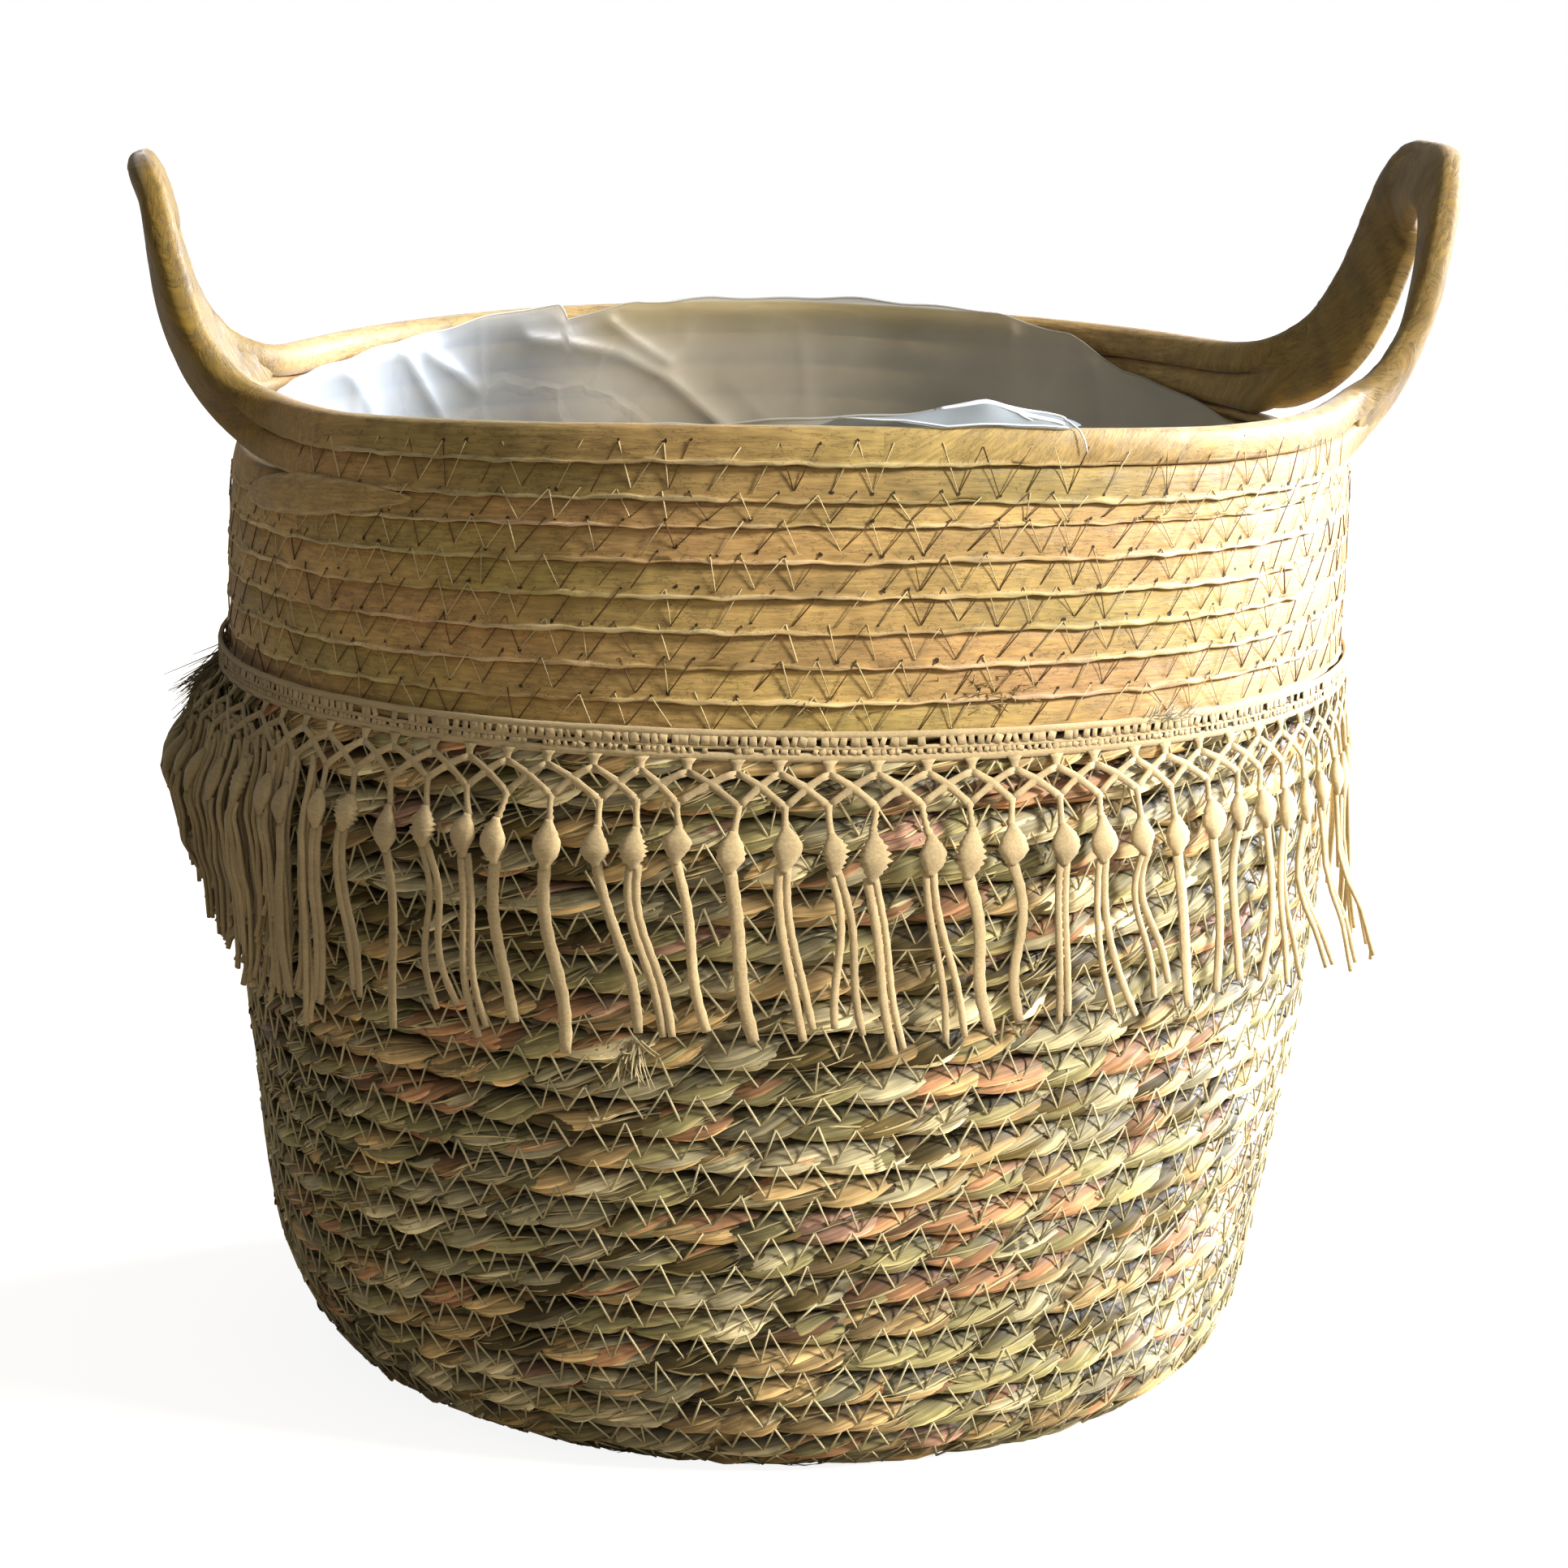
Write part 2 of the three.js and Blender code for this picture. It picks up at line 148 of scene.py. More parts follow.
def addSun(name, strength, azimuth, height, softness, tint):
    light = bpy.data.lights.new(name, "SUN")
    light.energy = strength
    light.angle = math.radians(softness)
    light.color = tint
    lamp = addObject(name, light)
    turn, rise = math.radians(azimuth), math.radians(height)
    place = Vector((math.cos(turn) * math.cos(rise), math.sin(turn) * math.cos(rise), math.sin(rise)))
    lamp.location = place * 2
    lamp.rotation_mode = "QUATERNION"
    lamp.rotation_quaternion = (-place).to_track_quat("-Z", "Y")


def makeFloor():
    half = studio["floorSize"] / 2
    mesh = bpy.data.meshes.new("studio_floor")
    corners = [(-half, -half, 0), (half, -half, 0), (half, half, 0), (-half, half, 0)]
    mesh.from_pydata(corners, [], [(0, 1, 2, 3)])
    floor = addObject("studio_floor", mesh)
    paint, tree, shader = newLook("pale_floor")
    glow = multiply(tree, addNode(tree, "LightPath").outputs["Is Camera Ray"], studio["floorGlow"])
    setInputs(tree, shader, {"Base Color": (*studio["floorTone"], 1), "Roughness": 0.9,
                             "Specular IOR Level": 0.1, "Emission Color": (1, 1, 1, 1),
                             "Emission Strength": glow})
    mesh.materials.append(paint)


def makeSky():
    # white behind the basket, and a soft light that is stronger from the right and warmer from the left
    world = bpy.data.worlds.new("soft_sky")
    bpy.context.scene.world = world
    world.use_nodes = True
    tree = world.node_tree
    tree.nodes.clear()
    toward = addNode(tree, "VectorMath", {0: addNode(tree, "TexCoord"), 1: studio["skyWay"]},
                     operation="DOT_PRODUCT").outputs["Value"]
    seen = addNode(tree, "LightPath").outputs["Is Camera Ray"]
    side = mapRange(tree, toward, studio["skyLeft"], studio["skyRight"], studio["skyFrom"], 1)
    strength = addNode(tree, "Mix", {"Factor": seen, "A": side, "B": 1.0}, data_type="FLOAT")
    white = addNode(tree, "Math", {0: mapRange(tree, toward, 0, 1, -1, 1), 1: seen})
    warm = addNode(tree, "ValToRGB", {"Fac": white})
    tints = (studio["skyLeftTint"], (1, 1, 1))
    for end, place, tint in zip(warm.color_ramp.elements, studio["skyTintEnds"], tints):
        end.position = place
        end.color = (*tint, 1)
    sky = addNode(tree, "Background", {"Color": warm, "Strength": strength})
    addNode(tree, "OutputWorld", {"Surface": sky})


bpy.context.scene.view_settings.view_transform = "Standard"
bpy.context.scene.view_settings.look = "None"
makeFloor()
makeSky()
for name, lamp in sunLamps.items():
    addSun(name, *lamp)
print("studio set")


# Small tools for shapes

def tone(code):
    # sRGB code to linear values
    parts = [int(code[i:i + 2], 16) / 255 for i in (0, 2, 4)]
    return np.array([p / 12.92 if p <= 0.04045 else ((p + 0.055) / 1.055) ** 2.4 for p in parts])


def unit(v):
    return v / np.maximum(np.linalg.norm(v, axis=-1, keepdims=True), 1e-12)


def between(a, b, share):
    return a + (b - a) * share


def hump(x, width):
    return np.exp(-(x / width) ** 2)


def stackUp(*parts):
    return np.stack(np.broadcast_arrays(*parts), -1)


def polar(radius, angle, height=0.0):
    return stackUp(radius * np.cos(angle), radius * np.sin(angle), height)


def degreesFrom(angle, middle=0.0):
    return (np.degrees(angle) - middle + 180) % 360 - 180


def readOff(table, x, period=None):
    return np.interp(x, list(table), list(table.values()), period=period)


def runAlong(line):
    return np.concatenate([[0], np.cumsum(np.linalg.norm(np.diff(line, axis=0), axis=1))])


def runOfCoil(turns, radius):
    return np.concatenate([[0], np.cumsum(fullTurn * radius[1:] * np.diff(turns))])


def ripple(x, waves, seed):
    # a smooth wandering value, about -1 to 1, with the wavelengths given
    dice = np.random.default_rng(seed)
    total = sum(np.sin(x * fullTurn / wave + dice.uniform(0, fullTurn)) for wave in waves)
    return total / math.sqrt(len(waves))


def ringAngles(count):
    return np.linspace(0, fullTurn, count, endpoint=False)


def squared(wave, power):
    # a sine or cosine that makes a circle squarer
    return np.sign(wave) * np.abs(wave) ** power


def squareRing(count, power):
    ring = ringAngles(count)
    return ring, squared(np.cos(ring), power), squared(np.sin(ring), power)


def oval(count, wide=1.0, thick=1.0):
    ring = ringAngles(count)
    return stackUp(np.cos(ring) * wide, np.sin(ring) * thick)


handMade = {
    # sideways shift by height: the body leans to its right as it rises
    "shift": {0: 1.8, 20: -0.4, 35: -1.9, 50: -2.0, 90: -0.3, 140: 0, 285: 3.56, 350: 5.2},
    # how far the rim dips, by degrees from +X: it is level in front and sinks towards the handles
    "dip": {-90: 0, -72: 0.8, -57: 3.0, -45: 4.8, -30: 6.0, 0: 6.4, 20: 5.0, 45: 3.0, 70: 1.5, 90: 0,
            120: 0.5, 150: 2.5, 180: 5.0, 200: 6.0, 220: 5.2, 240: 2.4, 255: 0.6},
    # share of the dip by height: less lower down, and none at the tops of the handles
    "dipShare": {140: 0, 205: 0.35, 276: 1, 290: 1, 330: 0},
    "dipsFrom": 60,            # radius from which it dips in full
}


def handShape(points):
    moved = points.copy()
    x, y, z = points.T
    far = np.clip(np.hypot(x, y) / handMade["dipsFrom"], 0, 1)
    dip = readOff(handMade["dip"], np.degrees(np.arctan2(y, x)), 360)
    moved[:, 2] -= dip * far * readOff(handMade["dipShare"], z)
    moved[:, 0] += readOff(handMade["shift"], z)
    return moved


def makePiece(name, points, faces, look, body=None, slot=None, stands=(), smooth=True, **layers):
    shape = points.shape
    points = handShape(points.reshape(-1, 3)) * mm
    points[:, 2] = np.maximum(points[:, 2], 0.00005)      # nothing dips into the floor
    faces = [f for f in faces if len(f)]
    corners = np.concatenate([f.ravel() for f in faces])
    sizes = np.concatenate([np.full(len(f), f.shape[1]) for f in faces])
    mesh = bpy.data.meshes.new(name)
    mesh.vertices.add(len(points))
    mesh.loops.add(len(corners))
    mesh.polygons.add(len(sizes))
    mesh.vertices.foreach_set("co", points.astype(np.float32).ravel())
    mesh.loops.foreach_set("vertex_index", corners.astype(np.int32))
    mesh.polygons.foreach_set("loop_start", (np.cumsum(sizes) - sizes).astype(np.int32))
    mesh.polygons.foreach_set("use_smooth", np.full(len(sizes), smooth))
    for layer, values in layers.items():
        values = np.broadcast_to(values, shape).reshape(-1, 3)
        if layer == "tint":
            colours = mesh.color_attributes.new("tint", "FLOAT_COLOR", "POINT")
            colours.data.foreach_set("color", np.c_[values, np.ones(len(values))].astype(np.float32).ravel())
        else:
            vectors = mesh.attributes.new(layer, "FLOAT_VECTOR", "POINT")
            vectors.data.foreach_set("vector", values.astype(np.float32).ravel())
    mesh.update(calc_edges=True)
    mesh.validate()
    mesh.materials.append(look)
    piece = addObject(name, mesh)
    if body:
        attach(piece, body)
    if stands:
        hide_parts(*stands)
    print("made", name, len(points), "points", len(sizes), "faces")
    return piece


def gridQuads(points, closed=False):
    # quads between the neighbours in grids of points, and round to the first column where closed
    index = np.arange(points[..., 0].size).reshape(points.shape[:-1])
    if closed:
        index = np.concatenate([index, index[..., :1]], -1)
    corners = (index[..., :-1, :-1], index[..., :-1, 1:], index[..., 1:, 1:], index[..., 1:, :-1])
    return np.stack(corners, -1).reshape(-1, 4)


def sweep(centre, across, outward, ring, capped=True):
    # one tube or many at once: centre is tubes x stations x 3, ring is points x 2 or has a shape per station
    if centre.ndim == 2:
        centre, across, outward = centre[None], across[None], outward[None]
    ring = np.broadcast_to(ring, centre.shape[:2] + np.shape(ring)[-2:])
    points = centre[:, :, None] + ring[..., :1] * across[:, :, None] + ring[..., 1:] * outward[:, :, None]
    faces = [gridQuads(points, closed=True)]
    if capped:
        index = np.arange(points[..., 0].size).reshape(points.shape[:-1])
        faces += [index[:, 0, ::-1], index[:, -1]]
    return points, faces


class Heap:
    # gathers points, faces and layers of many parts into one piece
    def __init__(self):
        self.points, self.faces, self.layers, self.count = [], [], {}, 0

    def add(self, points, faces, **layers):
        self.points.append(points.reshape(-1, 3))
        self.faces += [f + self.count for f in faces]
        self.count += len(self.points[-1])
        for name, values in layers.items():
            self.layers.setdefault(name, []).append(np.broadcast_to(values, points.shape).reshape(-1, 3))

    def make(self, name, look, **rest):
        layers = {k: np.concatenate(v) for k, v in self.layers.items()}
        widths = sorted({f.shape[1] for f in self.faces if len(f)})
        faces = [np.concatenate([f for f in self.faces if len(f) and f.shape[1] == w]) for w in widths]
        return makePiece(name, np.concatenate(self.points), faces, look, **rest, **layers)


# Finishes. Each reads its colour and the direction of its fibres from the mesh, so it stays with the piece.

def fibreLook(name, rough, streaks, depth, vary, mottle, sheen=0.0, gloss=0.4, veins=None):
    look, tree, shader = newLook(name)
    tint = addNode(tree, "Attribute", attribute_name="tint")
    grain = addNode(tree, "Attribute", attribute_name="grain").outputs["Vector"]
    fine = stretchedNoise(tree, grain, streaks, 3, 0.6)
    blot = addNode(tree, "TexNoise", {"Vector": grain, "Scale": 0.16, "Detail": 2})
    shade = multiply(tree, mapRange(tree, fine, 1 - vary, 1 + vary * 0.6),
                     mapRange(tree, blot, 1 - mottle * 0.5, 1 + mottle * 0.4))
    if veins:
        # thin wandering dark lines, where a slow noise crosses its middle value
        noise = stretchedNoise(tree, grain, veins["spread"], 5, 0.65)
        offset = addNode(tree, "Math", {0: noise, 1: 0.5}, operation="SUBTRACT")
        size = addNode(tree, "Math", {0: offset}, operation="ABSOLUTE")
        shade = multiply(tree, shade, mapRange(tree, size, 1 - veins["depth"], 1, 0, veins["width"]))
    colour = addNode(tree, "VectorMath", {0: tint, "Scale": shade}, operation="SCALE")
    bump = addNode(tree, "Bump", {"Strength": 0.8, "Distance": depth * mm, "Height": fine})
    roughness = mapRange(tree, fine, rough - 0.12, rough + 0.12)
    setInputs(tree, shader, {"Base Color": colour, "Roughness": roughness, "Specular IOR Level": gloss,
                             "Sheen Weight": sheen, "Sheen Roughness": 0.5, "Normal": bump})
    return look


def stretchedNoise(tree, vector, stretch, detail, roughness):
    stretched = addNode(tree, "VectorMath", {0: vector, 1: (*stretch, 1)}, operation="MULTIPLY")
    return addNode(tree, "TexNoise", {"Vector": stretched, "Scale": 1.0, "Detail": detail,
                                      "Roughness": roughness})


leafLook = fibreLook("dry_seagrass_leaf", 0.5, streaks=(0.05, 1.7), depth=0.3, vary=0.5, mottle=0.4)
coreLook = fibreLook("seagrass_core", 0.8, streaks=(0.15, 1.6), depth=0.4, vary=0.5, mottle=0.4, gloss=0.2)
huskLook = fibreLook("pressed_straw_husk", 0.6, sheen=0.2, streaks=(0.14, 1.1), depth=0.26, vary=0.3,
                     mottle=0.35, veins={"spread": (0.10, 0.26), "width": 0.011, "depth": 0.62})
threadLook = fibreLook("waxed_thread", 0.6, streaks=(0.8, 3.0), depth=0.08, vary=0.25, mottle=0.3)
cordLook = fibreLook("soft_flat_cord", 0.85, sheen=0.25, streaks=(1.6, 1.6), depth=0.12, vary=0.18,
                     mottle=0.2, gloss=0.2)
print("finishes made")


# Wall outline: the middle line of the rope wall, from the foot to the rim, as in the CAD model

wall = {
    "height": 285,
    "footRadius": 113,
    "heelRadius": 142.5,
    "heelHeight": 45,
    "bellyRadius": 156.5,
    "rimRadius": 156.5,
    "heelRoundness": 0.55,
    "seagrassThickness": 9.2,
    "seagrassDepth": 9.6,
    "strawThickness": 8.4,
    "strawDepth": 8.2,
    "courseGap": 0.5,
    "rimGap": 0.8,
    "bandHeight": 78,
    "coilStart": math.radians(72),
    "taperEnd": 1.6,
    "stepsPerTurn": 60,
}


def traceOutline():
    reach = wall["seagrassDepth"] / 2
    foot = np.array([wall["footRadius"], reach])
    heel = np.array([wall["heelRadius"] - reach, wall["heelHeight"]])
    rim = np.array([wall["rimRadius"] - wall["strawDepth"] / 2, wall["height"]])
    middle = wall["bellyRadius"] - reach
    pull = np.array([(4 * middle - heel[0] - rim[0]) / 2, (heel[1] + rim[1]) / 2])
    footPull = np.array([between(foot[0], heel[0], wall["heelRoundness"]), foot[1]])
    heelPull = heel - unit(pull - heel) * wall["heelRoundness"] * (heel[1] - foot[1])
    t = np.linspace(0, 1, 401)[:, None]
    lower = (1 - t)**3 * foot + 3 * (1 - t)**2 * t * footPull + 3 * (1 - t) * t**2 * heelPull + t**3 * heel
    t = np.linspace(0, 1, 801)[1:, None]
    upper = (1 - t)**2 * heel + 2 * (1 - t) * t * pull + t**2 * rim
    line = np.concatenate([lower, upper])
    along = runAlong(line)
    return along, line, unit(np.gradient(line, along, axis=0))


outlineLength, outlinePoints, outlineSlope = traceOutline()


def outlineAt(length):
    # radius and height, and the two parts of the slope
    return [np.interp(length, outlineLength, column) for column in (*outlinePoints.T, *outlineSlope.T)]


def lengthAtHeight(height):
    return np.interp(height, outlinePoints[:, 1], outlineLength)


rimPitch = wall["strawThickness"] + wall["rimGap"]
bandBottom = wall["height"] - wall["bandHeight"]
bandTop = float(lengthAtHeight(wall["height"] - 2 * rimPitch))
seagrassPitch = wall["seagrassThickness"] + wall["courseGap"]


def layCourses():
    # each step of the coil sits on the rope one turn below it
    rows, steps = [], wall["stepsPerTurn"]
    for i in range(100 * steps):
        straw, half = False, wall["seagrassThickness"] / 2
        length = seagrassPitch * i / steps
        top = length + half
        if i >= steps:
            seat = rows[i - steps][4] + wall["courseGap"]
            height = np.interp(seat, outlineLength, outlinePoints[:, 1])
            straw = height > bandBottom - wall["strawThickness"] / 2
            room = bandTop - seat
            if room < wall["taperEnd"]:
                break
            half = min(wall["strawThickness"] if straw else wall["seagrassThickness"], room) / 2
            length = seat + half
            joint = straw and not rows[-1][3]
            top = seat + (max(wall["strawThickness"], wall["seagrassThickness"]) if joint else 2 * half)
        rows.append((i / steps, length, half, straw, top))
    rows = np.array(rows, float)

    # the last turn also fills the thin wedge that the tapered end leaves under the rim
    spare = np.where(rows[:, 0] > rows[-1, 0] - 1 - 1.5 / steps, bandTop - rows[:, 4], 0).clip(0, 2)
    rows[:, 1:3] += spare[:, None] / 2
    return rows.T[:4]


courseTurns, courseLengths, courseHalves, courseStraw = layCourses()
strawStart = float(courseTurns[np.argmax(courseStraw > 0)])
coilEnd = float(courseTurns[-1])


class Coil:
    # the rope's place at a number of turns from its start, with its ways up and out
    def __init__(self, turns, straw=False):
        length = np.interp(turns, courseTurns, courseLengths) if straw else seagrassPitch * turns
        self.half = np.interp(turns, courseTurns, courseHalves)
        self.radius, height, slopeOut, slopeUp = outlineAt(length)
        angle = wall["coilStart"] + turns * fullTurn
        self.centre = polar(self.radius, angle, height)
        self.up = polar(slopeOut, angle, slopeUp)
        self.out = polar(slopeUp, angle, -slopeOut)


ropeTurns = np.linspace(0, strawStart, 4000)
ropeLength = runOfCoil(ropeTurns, Coil(ropeTurns).radius)
print("coil laid:", round(strawStart, 2), "turns of seagrass,", round(coilEnd - strawStart, 2), "of straw")


# Seagrass: a twisted core, with painted shade in its grooves, and humps of folded leaf laid over its outer
# side

seagrass = {
    "humpSpacing": 16.5,       # along the rope
    "humpLength": 27.0,
    "leavesPerHump": 5,
    "leafWidth": 3.8,
    "leafSpacing": 1.8,
    "slope": 15.0,             # degrees up to the right
    "bulge": 1.5,
    "overhang": 0.25,          # how far the lower side stands out
    "tuck": 0.6,               # how far a leaf's upper edge lies below its lower one
    "fibresPerHump": 3,
    "fibreWidth": 0.38,
    "fibreTone": "d9c690",
    "stations": 9,
    "acrossPoints": 6,
    "runOfOneKind": 4,         # humps
    "halfHeight": 4.75,        # of the rope's rounded section
    "halfDepth": 4.45,
    "square": 0.86,
    "coreStep": 3.2,
    "coreRadius": 4.15,
    "coreWide": 1.22,
    "corePieces": 97,
    "lobes": 5,
    "lay": 78.0,
}
leafTones = {
    "a49966": 0.24,            # olive
    "b4a982": 0.20,            # grey-green
    "cbab73": 0.20,            # tan
    "62532c": 0.13,            # dark olive
    "bf8e63": 0.10,            # salmon brown
    "c89c80": 0.02,            # dusty pink
    "e6d6a6": 0.11,            # light straw
}
leafPalette = np.array([tone(code) for code in leafTones])
leafShares = np.array(list(leafTones.values())) / sum(leafTones.values())


def ropeSpot(turns, angle, lift=0.0):
    # a place on the seagrass rope: angle up from the outward direction, and lift off its surface
    coil = Coil(turns)
    up = seagrass["halfHeight"] * squared(np.sin(angle), seagrass["square"])
    out = seagrass["halfDepth"] * squared(np.cos(angle), seagrass["square"])
    out = out - seagrass["overhang"] * up + lift * np.cos(angle)
    up = up + lift * np.sin(angle)
    return coil.centre + up[..., None] * coil.up + out[..., None] * coil.out, coil.out


def makeSeagrassLeaves():
    dice = np.random.default_rng(11)
    humps = int(ropeLength[-1] / seagrass["humpSpacing"])
    leaves, fibres = seagrass["leavesPerHump"], seagrass["fibresPerHump"]
    one, size = (humps, 1, 1, 1), (humps, leaves + fibres, 1, 1)
    number = np.arange(leaves + fibres)[:, None, None]
    isFibre = number >= leaves
    row = np.where(isFibre, 0, number - (leaves - 1) / 2)
    place = (np.arange(humps).reshape(one) + 0.5) * seagrass["humpSpacing"] + dice.uniform(-2.6, 2.6, one)
    slope = np.radians(seagrass["slope"] + dice.normal(0, 3.5, one))
    scale = dice.uniform(0.82, 1.18, one)
    offset = row * seagrass["leafSpacing"] + dice.normal(0, 0.3, size)
    offset = np.where(isFibre, dice.uniform(-3.8, 2.2, size), offset)
    length = seagrass["humpLength"] * scale * (1 - 0.05 * np.abs(row)) + dice.normal(0, 2.4, size)
    width = seagrass["leafWidth"] * dice.uniform(0.55, 1.2, size)
    width = np.where(isFibre, seagrass["fibreWidth"] * dice.uniform(0.6, 1.4, size), width)
    middle = place + (dice.normal(0, 2.0, size) + row * 0.7)
    lean = slope + np.radians(dice.normal(0, 3.5, size))
    raised = dice.uniform(-0.4, 0.5, size) - 0.09 * np.abs(row) + 0.45 * isFibre
    bend = dice.normal(0, 0.4, size) * np.where(isFibre, 2.5, 1)
    tuck = seagrass["tuck"] * dice.uniform(0.3, 1.8, size) * ~isFibre
    colour = leafColours(dice, humps, leaves, fibres)[:, :, None, None]

    a = np.linspace(0, 1, seagrass["stations"])[:, None]
    v = np.linspace(-1, 1, seagrass["acrossPoints"])
    arch = np.sin(math.pi * a)
    profile = np.sin(math.pi * a ** 0.9) ** 0.62
    run = (a - 0.5) * length
    side = offset * (0.4 + 0.6 * profile) + v * width / 2 * profile + bend * arch
    distance = middle + run * np.cos(lean) - side * np.sin(lean)
    arc = run * np.sin(lean) + side * np.cos(lean) - 0.6
    lift = seagrass["bulge"] * arch ** 0.7 - 0.75 + raised + (0.3 * (1 - v ** 2) - tuck * v) * profile
    turns = np.interp(np.clip(distance, 0, ropeLength[-1]), ropeLength, ropeTurns)
    points = ropeSpot(turns, arc / 4.7, lift)[0]

    # painted shadow on each course's upper part under the course above, painted shade at each leaf's tucked
    # ends, and along a leaf's edges a painted highlight below and painted shade above
    shadow = np.clip((4.2 - arc) / 4.6, 0.0, 1.0) ** 1.3
    edge = 1 + np.where(v < 0, 0.8, -0.8) * np.abs(v) ** 4
    tint = colour * ((0.10 + 0.96 * shadow) * (0.5 + 0.5 * arch ** 0.5) * edge)[..., None]
    grain = stackUp(run, side, dice.uniform(0, 400, size))

    # three pieces up the wall, and a fibre keeps only its two edges
    kinds = ((slice(leaves), slice(None)), (slice(leaves, None), [0, -1]))
    for part, some in zip(("low", "middle", "high"), np.array_split(np.arange(humps), 3)):
        heap = Heap()
        for kind, columns in kinds:
            cut = lambda layer: layer[some][:, kind][..., columns, :]
            heap.add(cut(points), [gridQuads(cut(points))], tint=cut(tint), grain=cut(grain))
        heap.make(f"seagrass_leaves_{part}", leafLook, body="basket", slot="seagrass_rope")


def leafColours(dice, humps, leaves, fibres):
    # neighbouring humps often share a colour, single leaves stray from it, and fibres are light
    draw = lambda size: dice.choice(len(leafPalette), size, p=leafShares)
    runs = np.arange(humps) // seagrass["runOfOneKind"]
    runKind = draw(runs[-1] + 1)[runs]
    own = draw(humps)
    kind = np.where(dice.random(humps) < 0.55, runKind, own)
    stray = dice.random((humps, leaves)) < 0.28
    leafKind = np.where(stray, draw((humps, leaves)), kind[:, None])
    shade = dice.normal(1, 0.33, (humps, leaves)).clip(0.35, 1.9)
    colour = leafPalette[leafKind] * shade[..., None]
    colour[:, 0] *= 1.35                                # the lowest leaf of a hump gets a painted highlight, for its edge that catches the light
    fibre = tone(seagrass["fibreTone"]) * dice.uniform(0.45, 1.15, (humps, fibres, 1))
    return np.concatenate([colour, fibre], 1)


def makeCore(name, node, centre, up, out, distance, wide):
    # a rope with slowly turning lobes, closed at its ends
    dice = np.random.default_rng(5)
    ring = ringAngles(14)[::-1]
    lobes = (ring - distance[:, None] * fullTurn / seagrass["lay"]) * seagrass["lobes"] / fullTurn
    strand = np.floor(lobes).astype(int)
    stand = np.sin(math.pi * (lobes % 1.0))
    pieces = seagrass["corePieces"]
    pick = (strand * 7 + np.floor(distance[:, None] / 31 + strand * 0.37).astype(int) * 13) % pieces
    palette = leafPalette[dice.choice(len(leafPalette), pieces, p=leafShares)]
    palette = palette * dice.uniform(0.7, 1.0, (pieces, 1))
    radius = seagrass["coreRadius"] + 0.55 * stand ** 0.6 - 0.3
    height = np.sin(ring) * radius * wide
    shapes = stackUp(height, np.cos(ring) * radius - seagrass["overhang"] * height * 0.8)
    points, faces = sweep(centre, up, out, shapes)
    # painted shade in the grooves between the lobes
    tint = palette[pick] * (0.35 + 0.65 * stand[..., None])
    makePiece(name, points, faces, coreLook, "basket", "seagrass_rope", stands=[node], tint=tint,
              grain=stackUp(distance[:, None], lobes % 1.0 * 5, pick * 3.0))


ropeDistance = np.linspace(0, ropeLength[-1], int(ropeLength[-1] / seagrass["coreStep"]))
ropeCoil = Coil(np.interp(ropeDistance, ropeLength, ropeTurns))
makeCore("seagrass_rope_core", "seagrass_wall_coil", ropeCoil.centre, ropeCoil.up, ropeCoil.out, ropeDistance,
         seagrass["coreWide"])
makeSeagrassLeaves()


# Sewing thread in the seagrass seams: a cream zigzag from each course down to the one below

seam = {
    "stitchesPerTurn": 96,
    "topShare": -0.30,         # where the stitch starts on the upper course
    "footShare": -0.08,        # where it ends on the lower one
    "threadWidth": 0.62,
    "lift": 1.15,
    "tone": "d9cb9c",
}


def addThreads(heap, start, end, outward, width, colour, lift, sink=0.9, sides=5):
    # straight stitches that dip into the rope at both ends
    along = unit(end - start)
    across = unit(np.cross(outward, along))
    steps = np.array([0, 0.03, 0.5, 0.97, 1.0])[:, None]
    rise = np.array([-sink, lift, lift, lift, -sink])[:, None]
    centre = start[:, None] + steps * (end - start)[:, None] + rise * outward[:, None]
    shape = oval(sides) * (width / 2)[:, None, None, None]
    points, faces = sweep(centre, across[:, None], np.cross(along, across)[:, None], shape, capped=False)
    grain = stackUp(points[..., 2], np.arange(sides), points[..., 0])
    heap.add(points, faces, tint=colour[:, None, None], grain=grain)


def makeSeagrassThreads():
    dice = np.random.default_rng(23)
    per = seam["stitchesPerTurn"]
    count = int((strawStart - 1) * per)
    jitter = lambda amount: dice.normal(0, amount, count)
    spot = lambda turns, share: ropeSpot(turns, np.arcsin(np.clip(share, -0.95, 0.95)))
    topTurn = 1 + np.arange(count) / per + jitter(0.10) / per
    footTurn = topTurn + (0.5 + jitter(0.06)) / per
    top, topOut = spot(topTurn, seam["topShare"] + jitter(0.13))
    foot, footOut = spot(footTurn - 1, seam["footShare"] + jitter(0.16))
    keep = dice.random(count - 1) > 0.02
    heap = Heap()
    for first, last, outward in ((top[:-1], foot[:-1], topOut[:-1]), (foot[:-1], top[1:], footOut[:-1])):
        first, last, outward = first[keep], last[keep], outward[keep]
        width = seam["threadWidth"] * dice.uniform(0.75, 1.2, len(first))
        colour = tone(seam["tone"]) * dice.uniform(0.72, 1.12, (len(first), 1))
        addThreads(heap, first, last, outward, width, colour, seam["lift"])
    heap.make("seagrass_sewing_thread", threadLook, body="basket", slot="cotton_cord")


makeSeagrassThreads()
